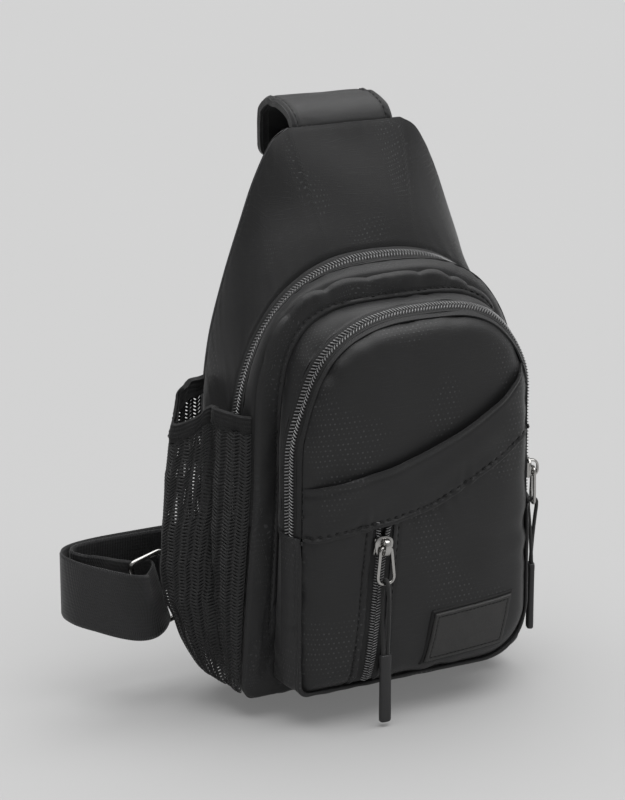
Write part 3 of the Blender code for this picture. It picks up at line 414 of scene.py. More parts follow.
@dataclass(frozen=True)
class PlainFinish:
    """A finish of one colour with a fine grain: plated metal, plastic, rubber, thread or yarn."""

    name: str
    colour: tuple
    roughness: float
    metallic: float = 0.0
    grain: float = 2.0
    grain_depth: float = 0.02
    specular: float = 0.4
    sheen: float = 0.0
    tone: float = 0.25

    def make(self) -> Material:
        """Return the material; the grain is a noise with the given size in millimetres.

        Returns:
            The plain finish.
        """
        shade = Shade(self.name)
        grain = shade.noise(shade.solid_place(), 1000.0 / self.grain, 3.0)
        dark, light = scaled(self.colour, 1 - self.tone), scaled(self.colour, 1 + self.tone)
        shade.set(Base_Color=shade.grey(grain, dark, light),
                  Roughness=shade.added(grain, 0.16, self.roughness - 0.08),
                  Metallic=self.metallic, Specular_IOR_Level=self.specular,
                  Sheen_Weight=self.sheen, Sheen_Roughness=0.4)
        if self.grain_depth:
            shade.bump(grain, self.grain_depth, 0.6)
        return shade.material


@dataclass(frozen=True)
class GrainedLeather:
    """Black leather with a pebbled grain of small cells."""

    name: str = "patch_leather"
    colour: tuple = (0.034, 0.0335, 0.033)
    cell: float = 0.9

    def make(self) -> Material:
        """Return the material; the grain is the distance to the nearest cell's edge.

        Returns:
            The patch's leather.
        """
        shade = Shade(self.name)
        made = shade.node("ShaderNodeTexVoronoi", feature="DISTANCE_TO_EDGE")
        shade.feed(made.inputs["Vector"], shade.cloth_place)
        made.inputs["Scale"].default_value = 1 / self.cell
        pebble = shade.ranged(made.outputs[0], 0.0, 0.28)
        cloud = shade.clouds(0.12, 0.12, 3.0)
        tone = shade.added(cloud, 0.6, shade.times(pebble, 0.3))
        shade.set(Base_Color=shade.grey(tone, scaled(self.colour, 0.7), scaled(self.colour, 1.4)),
                  Roughness=shade.added(cloud, 0.15, 0.4), Specular_IOR_Level=0.4)
        shade.bump(pebble, 0.09, 0.6)
        return shade.material


class Cloth(Enum):
    """The bag's finishes."""

    NYLON = "nylon"
    LINING = "lining"
    FOAM = "foam"
    AIR_MESH = "air_mesh"
    NETTING = "netting"
    ELASTIC = "elastic"
    WEBBING = "webbing"
    ZIP_TAPE = "zip_tape"
    COIL_WITH_PAINTED_GLINTS = "zip_coil"
    NICKEL = "nickel"
    PULL_CORD = "pull_cord"
    PULL_RUBBER = "pull_rubber"
    PATCH = "patch_leather"
    ADJUSTER = "adjuster_plastic"
    THREAD_AND_PAINTED_SHADE = "thread"


FINISHES = {
    Cloth.NYLON: DobbyNylon(),
    Cloth.LINING: RibbedCloth("lining_cloth", (0.03, 0.03, 0.032), 0.5, 0.5, 0.05, 0.7),
    Cloth.FOAM: PlainFinish("back_padding", (0.06, 0.06, 0.06), 0.9, grain=1.0, grain_depth=0.1),
    Cloth.AIR_MESH: SpacerMesh(),
    Cloth.NETTING: PlainFinish("pocket_yarn", (0.015, 0.015, 0.0155), 0.55, grain=0.4, grain_depth=0.05,
                               sheen=0.1),
    Cloth.ELASTIC: RibbedCloth("binding_elastic", (0.009, 0.009, 0.0094), 1.0, 0.6, 0.12, 0.65, 0.1),
    Cloth.WEBBING: RibbedCloth("strap_webbing", (0.026, 0.026, 0.027), 1.05, 1.9, 0.3, 0.5),
    Cloth.ZIP_TAPE: RibbedCloth("zip_tape", (0.0125, 0.0125, 0.013), 0.9, 0.45, 0.12, 0.6, 0.12),
    # Mid grey for a black nylon coil: a painted highlight standing in for the glints on its teeth.
    Cloth.COIL_WITH_PAINTED_GLINTS: PlainFinish("zip_coil", (0.2, 0.2, 0.202), 0.22, grain=1.0, grain_depth=0.0,
                                specular=0.9),
    Cloth.NICKEL: PlainFinish("plated_nickel", (0.42, 0.412, 0.4), 0.22, metallic=1.0, grain=0.8,
                              grain_depth=0.01, tone=0.06),
    Cloth.PULL_CORD: PlainFinish("pull_cord", (0.022, 0.022, 0.022), 0.7, grain=0.5, grain_depth=0.08,
                                 sheen=0.2),
    Cloth.PULL_RUBBER: PlainFinish("pull_rubber", (0.029, 0.029, 0.03), 0.5, grain=0.5, grain_depth=0.015),
    Cloth.PATCH: GrainedLeather(),
    Cloth.ADJUSTER: PlainFinish("adjuster_plastic", (0.018, 0.018, 0.018), 0.38, grain=0.6,
                                grain_depth=0.01),
    # Dark thread colour, also laid as painted shade under the zip teeth and as a painted shadow round the
    # patch.
    Cloth.THREAD_AND_PAINTED_SHADE: PlainFinish("sewing_thread", (0.007, 0.007, 0.0072), 0.7, grain=0.3, grain_depth=0.03,
                              sheen=0.1),
}


# Mesh building

@dataclass(frozen=True)
class BagSpace:
    """Turns bag millimetres into the frame's metres."""

    base: tuple
    leans: tuple = ((4.0, 148, 182), (3.0, 196, 222))
    lean_depths: tuple = (0, 8, 17, 24, 36)
    lean_shares: tuple = (0.5, 0.6, 1, 0.75, 0)

    @classmethod
    def from_frame(cls, panel_y: float) -> "BagSpace":
        """Find the bag's base from the lower gusset's foot and the main front panel's face.

        Args:
            panel_y: depth of the main front panel's face in bag millimetres.

        Returns:
            The space of this frame.
        """
        foot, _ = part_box("main_gusset_lower")
        face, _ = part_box("main_front_panel")
        return cls((0.0, face.y - panel_y * MM, foot.z))

    def settled(self, points: Grid) -> Grid:
        """Return points where the filled bag has settled, above its sliders.

        The front compartment's top leans to the right, most at its zip. The shift eases in with height.

        Args:
            points: points in bag millimetres.

        Returns:
            The moved points.
        """
        x, y, z = np.moveaxis(np.asarray(points, float), -1, 0)
        lean = sum(size * eased(z, low, high) for size, low, high in self.leans)
        return xyz(x + lean * np.interp(y, self.lean_depths, self.lean_shares, right=0), y, z)

    def metres(self, points: Grid) -> Grid:
        """Return points in the frame, in metres."""
        return self.settled(points) * MM + np.array(self.base)


def eased(value: Grid, low: float, high: float) -> Grid:
    """Return a smooth rise from 0 at low to 1 at high."""
    share = np.clip((value - low) / (high - low), 0, 1)
    return share * share * (3 - 2 * share)


def bell(value: Grid, width: float, middle: float = 0.0, power: float = 2) -> Grid:
    """Return a bell of height 1 round middle: e to the minus distance over width, to a power."""
    return np.exp(-(((value - middle) / width) ** power))


def close_ended(count: int) -> Grid:
    """Return count places from -1 to 1, closer together at both ends: the sine of even steps."""
    return np.sin(np.linspace(-1, 1, count) * np.pi / 2)


def stretches(*runs: tuple) -> Grid:
    """Return evenly spaced values over several runs of (first, last, count), one after the other."""
    return np.concatenate([np.linspace(*run) for run in runs])


def unit(vectors: Grid) -> Grid:
    """Return vectors of length one."""
    length = np.linalg.norm(vectors, axis=-1, keepdims=True)
    return vectors / np.maximum(length, 1e-12)


def xyz(x: object, y: object, z: object) -> Grid:
    """Return points from their three coordinates, spread to one shape."""
    return np.stack(np.broadcast_arrays(x, y, z), axis=-1).astype(float)


def run_length(line: Grid) -> Grid:
    """Return the length along a line of points, from 0 at its first."""
    return np.concatenate([[0], np.cumsum(np.linalg.norm(np.diff(line, axis=0), axis=1))])


def sampled(values: Grid, length: Grid, at: Grid) -> Grid:
    """Return rows of values, known at the given lengths, at other lengths between them."""
    return np.stack([np.interp(at, length, column) for column in values.T], axis=1)


def grid_quads(rows: int, columns: int, loop: bool = False) -> Grid:
    """Return the faces of a grid of points.

    Args:
        rows: rows of points.
        columns: points in a row.
        loop: whether a row closes on itself.

    Returns:
        Four point numbers per face.
    """
    row = np.arange(rows - 1)[:, None]
    column = np.arange(columns if loop else columns - 1)[None, :]
    after = (column + 1) % columns
    corners = [row * columns + column, row * columns + after,
               (row + 1) * columns + after, (row + 1) * columns + column]
    return np.stack(np.broadcast_arrays(*corners), axis=-1).reshape(-1, 4)


def shell_quads(rows: int, columns: int, loop: bool) -> Grid:
    """Return the faces of a closed body between an outer grid and an inner grid of the same shape.

    Args:
        rows: rows of points.
        columns: points in a row.
        loop: whether a row closes on itself.

    Returns:
        Four point numbers per face.
    """
    outer = grid_quads(rows, columns, loop)
    shift = rows * columns
    inner = outer[:, ::-1] + shift
    index = np.arange(shift).reshape(rows, columns)
    rims = [index[0], index[-1][::-1]]
    if loop:
        rims = [np.append(rims[0], rims[0][0]), np.append(rims[1], rims[1][0])]
    else:
        rims += [index[::-1, 0], index[:, -1]]
    edges = [np.stack([rim[1:], rim[:-1], rim[:-1] + shift, rim[1:] + shift], axis=1) for rim in rims]
    return np.vstack([outer, inner, *edges])


def grid_normals(points: Grid, loop: bool = False) -> Grid:
    """Return the unit normals of a grid of points, columns crossed with rows.

    Args:
        points: the grid.
        loop: whether a row closes on itself.

    Returns:
        A normal per point.
    """
    if loop:
        padded = np.concatenate([points[:, -1:], points, points[:, :1]], axis=1)
        along = np.gradient(padded, axis=1)[:, 1:-1]
    else:
        along = np.gradient(points, axis=1)
    return unit(np.cross(along, np.gradient(points, axis=0)))


def arc_lengths(points: Grid, axis: int) -> Grid:
    """Return the running length along one axis of a grid of points, from the middle of that axis.

    Args:
        points: the grid.
        axis: 0 down its rows, 1 along a row.

    Returns:
        A length per point.
    """
    steps = np.linalg.norm(np.diff(points, axis=axis), axis=-1)
    start = np.zeros_like(np.take(steps, [0], axis=axis))
    length = np.concatenate([start, np.cumsum(steps, axis=axis)], axis=axis)
    return length - np.take(length, [length.shape[axis] // 2], axis=axis)


def smooth_line(points: Sequence, steps: int = 8) -> Grid:
    """Return points on a smooth curve through the given ones, a cubic per stretch with steps points.

    Args:
        points: what the curve passes through.
        steps: points per stretch.

    Returns:
        The curve's points.
    """
    points = np.asarray(points, float)
    around = np.vstack([2 * points[0] - points[1], points, 2 * points[-1] - points[-2]])
    a, b, c, d = around[:-3, None], around[1:-2, None], around[2:-1, None], around[3:, None]
    share = np.linspace(0, 1, steps, endpoint=False)[None, :, None]
    run = 2 * b + (c - a) * share + (2 * a - 5 * b + 4 * c - d) * share**2
    run = (run + (3 * b - a - 3 * c + d) * share**3) / 2
    return np.vstack([run.reshape(-1, points.shape[1]), points[-1:]])


def even_steps(path: Grid, count: int) -> Grid:
    """Return count points at equal steps along a line of points."""
    length = run_length(path)
    return sampled(path, length, np.linspace(0, length[-1], count))


def ripple(places: Grid, wave: float, seed: int, count: int = 9) -> Grid:
    """Return a smooth uneven swell between about -1 and 1.

    It is a sum of sines with seeded directions, phases and wave lengths from 0.6 to 1.7 of wave.

    Args:
        places: coordinates, with their directions on the last axis.
        wave: middle wave length.
        seed: number that fixes the pattern.
        count: number of sines.

    Returns:
        One value per place.
    """
    chance = np.random.default_rng(seed)
    heading = unit(chance.normal(size=(count, places.shape[-1])))
    pace = 2 * np.pi / (wave * chance.uniform(0.6, 1.7, count))
    phase = chance.uniform(0, 2 * np.pi, count)
    turns = places @ (heading * pace[:, None]).T + phase
    return np.sin(turns).sum(axis=-1) / np.sqrt(count)


def seam_puckers(along: Grid, away: Grid, wave: float, reach: float, seed: int) -> Grid:
    """Return the gathers beside a seam: an uneven ripple along it that dies away from it.

    Args:
        along: distance along the seam.
        away: distance from the seam.
        wave: middle wave length of the gathers.
        reach: distance over which they die away.
        seed: number that fixes the pattern.

    Returns:
        Heights between about -1 and 1.
    """
    slant = along + 0.35 * away * ripple(along[..., None], wave * 5, seed + 1, 4)
    strength = 0.55 + 0.45 * ripple(along[..., None], wave * 6, seed + 2, 4)
    return ripple(slant[..., None], wave, seed, 7) * strength * np.exp(-away / reach)


class Grain(Enum):
    """How a panel's UV map lies: with the bag's straight grain, or along the strip itself."""

    STRAIGHT = "straight"
    ALONG = "along"


def linked(name: str, data: bpy.types.ID) -> Item:
    """Return a new object in the scene.

    Args:
        name: the object's name.
        data: what it shows.

    Returns:
        The object.
    """
    item = bpy.data.objects.new(name, data)
    bpy.context.scene.collection.objects.link(item)
    return item


class Workshop:
    """Makes the bag's objects: meshes in the frame, dressed, riding and standing for their CAD nodes."""

    batch: int = 40

    def __init__(self, space: BagSpace) -> None:
        """Make every finish once.

        Args:
            space: where the bag stands.
        """
        self.space = space
        self.faces: dict = {}
        self.materials = {kind: finish.make() for kind, finish in FINISHES.items()}

    def mesh(self, name: str, points: Grid, faces: Grid, kind: Cloth, uv: Optional[Grid] = None,
             sharp: float = 50.0) -> Item:
        """Make one mesh object.

        Args:
            name: object name.
            points: vertices in bag millimetres.
            faces: vertex numbers, one row of four per face.
            kind: the finish.
            uv: millimetres along the cloth, one pair per vertex.
            sharp: angle in degrees past which an edge stays sharp.

        Returns:
            The linked object.
        """
        data = bpy.data.meshes.new(name)
        data.from_pydata(self.space.metres(points), [], np.asarray(faces))
        if uv is not None:
            corner = np.empty(len(data.loops), np.int32)
            data.loops.foreach_get("vertex_index", corner)
            layer = data.uv_layers.new(name="cloth")
            layer.data.foreach_set("uv", np.asarray(uv, np.float32)[corner].ravel())
        data.validate()
        data.shade_smooth()
        data.set_sharp_from_angle(angle=np.radians(sharp))
        data.materials.append(self.materials[kind])
        return linked(name, data)

    def seat(self, item: Item, kind: Cloth, nodes: Sequence[str] = (), body: str = "bag") -> Item:
        """Let a piece ride on a body and stand for CAD nodes, which are hidden.

        Args:
            item: the piece.
            kind: its finish; not used.
            nodes: CAD nodes it stands for.
            body: what it rides on.

        Returns:
            The same piece.
        """
        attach(item, body)
        if nodes:
            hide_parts(*nodes)
        self.report(item, body)
        return item

    def report(self, item: Item, body: str) -> None:
        """Log a piece, its faces and the body that it rides on."""
        LOG.info("%s: %d faces, on %s", item.name, len(getattr(item.data, "polygons", ())), body)

    def solid(self, name: str, parts: Sequence[tuple], kind: Cloth, nodes: Sequence[str] = (),
              body: str = "bag", sharp: float = 50.0) -> None:
        """Make and seat one piece of several (points, faces)."""
        self.seat(self.mesh(name, *merged(parts), kind, sharp=sharp), kind, nodes, body)

    def cloth(self, name: str, surface: Grid, thick: float, kind: Cloth = Cloth.NYLON,
              nodes: Sequence[str] = (), relief: Optional[Grid] = None, loop: bool = False,
              outwards: Optional[Sequence[float]] = None, grain: Grain = Grain.STRAIGHT) -> Item:
        """Make a cloth panel: a closed body whose outer face is a grid of points raised by a relief.

        Args:
            name: object name.
            surface: outer face, rows by columns by three.
            thick: thickness, laid inwards.
            kind: the finish.
            nodes: CAD nodes that it stands for.
            relief: height of folds and gathers over the surface.
            loop: whether its columns close on themselves.
            outwards: a direction, or a point's offset per grid, that the outer face looks along.
            grain: how its UV map lies.

        Returns:
            The object.
        """
        normal = grid_normals(surface, loop)
        facing = surface - BAG_MIDDLE if outwards is None else np.asarray(outwards, float)
        if np.sum(normal * facing) < 0:
            surface = surface[::-1]
            relief = None if relief is None else relief[::-1]
            normal = grid_normals(surface, loop)
        outer = surface if relief is None else surface + normal * relief[..., None]
        normal = grid_normals(outer, loop)
        inner = outer - normal * thick
        self.faces[name] = (outer.reshape(-1, 3), normal.reshape(-1, 3))
        rows, columns = outer.shape[:2]
        if grain is Grain.ALONG:
            uv = np.stack([arc_lengths(surface, 1), arc_lengths(surface, 0)], axis=-1)
        else:
            uv = surface[..., [0, 2]] + normal[..., [0, 2]] * surface[..., 1:2]
        uv = uv.reshape(-1, 2)
        points = np.vstack([outer.reshape(-1, 3), inner.reshape(-1, 3)])
        item = self.mesh(name, points, shell_quads(rows, columns, loop), kind, np.vstack([uv, uv]))
        return self.seat(item, kind, nodes)

    def stitch(self, name: str, panel: str, lines: Sequence[Grid], stitching: "Stitching") -> None:
        """Make rows of stitches that lie on a panel's outer face.

        Each point of a line is moved along the normal of the panel's nearest point until it is level
        with that point.

        Args:
            name: object name.
            panel: name of the panel, made before.
            lines: where the rows run, near the panel's face.
            stitching: the kind of stitch.
        """
        points, normals = self.faces[panel]
        made = []
        for line in lines:
            runs = np.array_split(line, len(line) // self.batch + 1)
            near = np.concatenate([((run[:, None] - points) ** 2).sum(-1).argmin(1) for run in runs])
            out = normals[near]
            level = line + out * np.sum((points[near] - line) * out, axis=1)[:, None]
            made.append(stitching.beads(level, out))
        self.solid(name, made, Cloth.THREAD_AND_PAINTED_SHADE)

    def sweep(self, name: str, line: Grid, across: Grid, section: Grid, kind: Cloth, loop: bool = False,
              sharp: float = 50.0, scale: Optional[Grid] = None) -> Item:
        """Make a solid by moving a closed section along a line.

        Args:
            name: object name.
            line: the path, one point per row.
            across: the direction of the section's first axis at each point.
            section: closed outline of (across, out) pairs, anticlockwise.
            kind: the finish.
            loop: whether the path closes on itself.
            sharp: angle past which an edge stays sharp.
            scale: share of the section's size at each point.

        Returns:
            The object, not yet seated.
        """
        points, uv = swept_points(line, across, section, loop, scale)
        rows, columns = points.shape[:2]
        faces = ring_quads(rows, columns) if loop else tube_quads(rows, columns)
        return self.mesh(name, points.reshape(-1, 3), faces, kind, uv.reshape(-1, 2), sharp)


def ring_quads(rows: int, columns: int) -> Grid:
    """Return the faces of a closed ring: rows sections of columns points, closed both ways.

    Args:
        rows: sections round the ring.
        columns: points in a section.

    Returns:
        Four point numbers per face.
    """
    order = np.arange(rows * columns).reshape(rows, columns).T.ravel()
    row = np.arange(rows) * columns
    after = np.roll(row, -1)
    last = columns - 1
    closing = np.stack([row + last, after + last, after, row], axis=1)
    return np.vstack([order[grid_quads(columns, rows, True)], closing])[:, ::-1]


def tube_quads(rows: int, count: int) -> Grid:
    """Return the faces of a closed tube: rows rings of count points, which is even, and two caps.

    Args:
        rows: rings along the tube.
        count: points in a ring.

    Returns:
        Four point numbers per face.
    """
    left = np.arange(count // 2 - 1)
    right = (count - 1 - left) % count
    cap = np.stack([left, right, right - 1, left + 1], axis=1)
    return np.vstack([grid_quads(rows, count, True), cap, cap[:, ::-1] + (rows - 1) * count])


def repeated(one: Grid, count: int, size: int) -> Grid:
    """Return the faces of count like bodies of size points each, from the faces of one."""
    return (one[None] + (np.arange(count) * size)[:, None, None]).reshape(-1, 4)


def tubes_at(spots: Grid, ways: Sequence[Grid], offsets: Sequence[Grid]) -> tuple:
    """Return the points and faces of one small tube at every spot.

    Args:
        spots: one point per tube.
        ways: three directions, each with one row per tube.
        offsets: how far a tube's points lie along each direction, as grids of rings by sides.

    Returns:
        Points and faces.
    """
    points = spots[:, None, None]
    for way, offset in zip(ways, offsets):
        points = points + way[:, None, None] * offset[..., None]
    count, rings, sides = points.shape[:3]
    return points.reshape(-1, 3), repeated(tube_quads(rings, sides), count, rings * sides)


def tube(line: Grid, across: Grid, section: Grid, scale: Optional[Grid] = None) -> tuple:
    """Return a section moved along a line, closed at both ends, as points and faces."""
    points, _ = swept_points(line, across, section, False, scale)
    return points.reshape(-1, 3), tube_quads(*points.shape[:2])


def swept_points(line: Grid, across: Grid, section: Grid, loop: bool,
                 scale: Optional[Grid] = None) -> tuple:
    """Return the points of a section moved along a line, and their millimetres along and around it.

    Args:
        line: the section's middles.
        across: direction of its width.
        section: its outline, across and out.
        loop: whether the line is closed.
        scale: its size at each middle.

    Returns:
        Points by middle and outline, and their measures.
    """
    if loop:
        ring = np.vstack([line[-1:], line, line[:1]])
        run = unit(np.gradient(ring, axis=0)[1:-1])
    else:
        run = unit(np.gradient(line, axis=0))
    side = np.broadcast_to(np.asarray(across, float), line.shape)
    side = unit(side - run * np.sum(side * run, axis=1)[:, None])
    out = np.cross(run, side)
    sized = section * (np.ones(len(line)) if scale is None else scale)[:, None, None]
    points = line[:, None] + side[:, None] * sized[..., :1] + out[:, None] * sized[..., 1:]
    girth = run_length(np.vstack([section, section[:1]]))[:-1]
    return points, np.stack(np.meshgrid(run_length(line), girth, indexing="ij"), axis=-1)


def round_section(width: float, height: float, power: float, count: int) -> Grid:
    """Return a closed oval outline; a power above 2 makes it squarer.

    Args:
        width: full width.
        height: full height.
        power: of the superellipse.
        count: points round it.

    Returns:
        The outline, across and out.
    """
    turn = np.linspace(0, 2 * np.pi, count, endpoint=False)
    x = np.sign(np.cos(turn)) * np.abs(np.cos(turn)) ** (2 / power) * width / 2
    y = np.sign(np.sin(turn)) * np.abs(np.sin(turn)) ** (2 / power) * height / 2
    return np.stack([x, y], axis=1)


def strip_section(width: float, height: float, count: int, edge: float) -> Grid:
    """Return a flat closed outline, count points across each face, with rounded edges.

    Args:
        width: full width.
        height: full height.
        count: points per face.
        edge: width of the rounding.

    Returns:
        The outline, across and out.
    """
    spread = close_ended(count) * 0.35 + np.linspace(-1, 1, count) * 0.65
    x = spread * width / 2
    lift = np.sqrt(np.clip(1 - np.clip((np.abs(x) - (width / 2 - edge)) / edge, 0, 1) ** 2, 0, 1))
    y = height / 2 * np.maximum(lift, 0.12)
    return np.vstack([np.stack([x, -y], axis=1), np.stack([x, y], axis=1)[::-1]])


def rounded_loop(corners: Grid, radius: object, count: int, steps: int = 9) -> Grid:
    """Return count points at equal steps round a loop whose corners are rounded by quadratic curves.

    Args:
        corners: the loop's corners.
        radius: one radius for all corners, or one for each.
        count: number of points.
        steps: points of each corner's curve.

    Returns:
        The loop's points.
    """
    before = unit(np.roll(corners, 1, 0) - corners)
    after = unit(np.roll(corners, -1, 0) - corners)
    opening = np.arccos(np.clip(np.sum(before * after, axis=1), -1, 1))
    reach = (radius / np.tan(opening / 2))[:, None, None]
    share = np.linspace(0, 1, steps)[None, :, None]
    corner = corners[:, None]
    start, end = corner + before[:, None] * reach, corner + after[:, None] * reach
    bend = (1 - share) ** 2 * start + 2 * share * (1 - share) * corner + share**2 * end
    loop = bend.reshape(-1, corners.shape[1])
    return even_steps(np.vstack([loop, loop[:1]]), count + 1)[:-1]


@dataclass(frozen=True)
class Stitching:
    """A row of machine stitches: small thread beads that dive into the cloth at both ends."""

    pitch: float = 4.2
    length: float = 3.0
    width: float = 0.7
    sides: int = 6
    rings: int = 5
    rise: float = 0.12
    feel: float = 0.6

    def beads(self, line: Grid, normals: Grid) -> tuple:
        """Return the points and faces of one stitch every pitch along a line.

        A stitch is a tube of rings along the line, thickest and highest in its middle.

        Args:
            line: where the stitches run, on the cloth.
            normals: the cloth's outward directions along the line.

        Returns:
            Points and faces.
        """
        length = run_length(line)
        middle = np.arange(self.pitch / 2, length[-1], self.pitch)
        run = unit(sampled(line, length, middle + self.feel) - sampled(line, length, middle - self.feel))
        out = sampled(normals, length, middle)
        out = unit(out - run * np.sum(out * run, axis=1)[:, None])
        share = np.linspace(-1, 1, self.rings)[:, None]
        girth = np.sqrt(np.clip(1.08 - share**2, 0.05, 1)) * self.width / 2
        lift = self.rise + self.width * 0.35 * (1 - 1.5 * share**2)
        turn = np.linspace(0, 2 * np.pi, self.sides, endpoint=False)
        offsets = np.broadcast_arrays(share * self.length / 2, girth * np.cos(turn),
                                      lift + girth * np.sin(turn) * 0.8)
        return tubes_at(sampled(line, length, middle), (run, np.cross(run, out), out), offsets)


def merged(parts: Sequence[tuple]) -> tuple:
    """Return several (points, faces) as one.

    Args:
        parts: points and faces of each.

    Returns:
        All points and all faces.
    """
    sizes = np.cumsum([0] + [len(points) for points, _ in parts])[:-1]
    points = np.vstack([points for points, _ in parts])
    faces = np.vstack([faces + start for start, (_, faces) in zip(sizes, parts)])
    return points, faces


# The bag's shape, shared by its pieces

@dataclass(frozen=True)
class Arch:
    """A tombstone outline: straight sides that turn into a round top, and a base with round corners."""

    half: float
    spring: float
    top: float
    power: float
    base: float
    corner: float
    right_corner: Optional[float] = None
    foot: Optional[float] = None

    def side_half(self, z: Grid) -> Grid:
        """Return the side's half width at heights z: straight from the foot's to the spring's.

        Args:
            z: heights.

        Returns:
            Half widths.
        """
        foot = self.half if self.foot is None else self.foot
        share = np.clip((self.spring - z) / (self.spring - self.base), 0, 1)
        return self.half + (foot - self.half) * share

    @property
    def corners(self) -> tuple:
        """The left and right corners' radii."""
        return self.corner, self.corner if self.right_corner is None else self.right_corner

    def over(self, foot: float, count: int) -> Grid:
        """Return (x, z) at equal steps from the left foot over the top to the right foot.

        The top is a superellipse: x follows the cosine and z the sine, each to 2 / power.

        Args:
            foot: height of both feet.
            count: number of points.

        Returns:
            The (x, z) points.
        """
        turn = np.linspace(0, np.pi, 241)
        x = -self.half * np.sign(np.cos(turn)) * np.abs(np.cos(turn)) ** (2 / self.power)
        z = self.spring + (self.top - self.spring) * np.sin(turn).clip(0) ** (2 / self.power)
        ends = self.side_half(foot)
        path = np.vstack([[[-ends, foot]], np.stack([x, z], axis=1), [[ends, foot]]])
        return even_steps(path, count)

    def under(self, end: float, count: int) -> Grid:
        """Return (x, z) at equal steps from the left end down round both corners to the right end.

        Args:
            end: height of both ends.
            count: number of points.

        Returns:
            The (x, z) points.
        """
        turn = np.linspace(0, np.pi / 2, 15)
        runs = []
        for corner in self.corners:
            z = self.base + corner * (1 - np.sin(turn))
            x = -self.side_half(z) + corner * (1 - np.cos(turn))
            runs.append(np.vstack([[[-self.side_half(end), end]], np.stack([x, z], axis=1)]))
        return even_steps(np.vstack([runs[0], runs[1][::-1] * [-1, 1]]), count)

    def round_loop(self, count: int) -> Grid:
        """Return the whole outline at equal steps, closed, from the left spring over the top.

        Args:
            count: number of points.

        Returns:
            The (x, z) points.
        """
        over = self.over(self.spring, count)
        under = self.under(self.spring, count)[::-1]
        loop = np.vstack([over, under[1:-1], over[:1]])
        return even_steps(loop, count + 1)[:-1]

    def half_at(self, z: Grid, x: Grid = -1.0) -> Grid:
        """Return the half width at heights z, on the side where x lies.

        Args:
            z: heights.
            x: below 0 for the left side.

        Returns:
            Half widths.
        """
        corner = np.where(np.asarray(x) > 0, self.corners[1], self.corners[0])
        arch = np.clip((z - self.spring) / (self.top - self.spring), 0, 1)
        low = np.clip((self.base + corner - z) / corner, 0, 1)
        top = self.side_half(z) * (1 - arch**self.power) ** (1 / self.power)
        return top - corner * (1 - np.sqrt(1 - low**2))


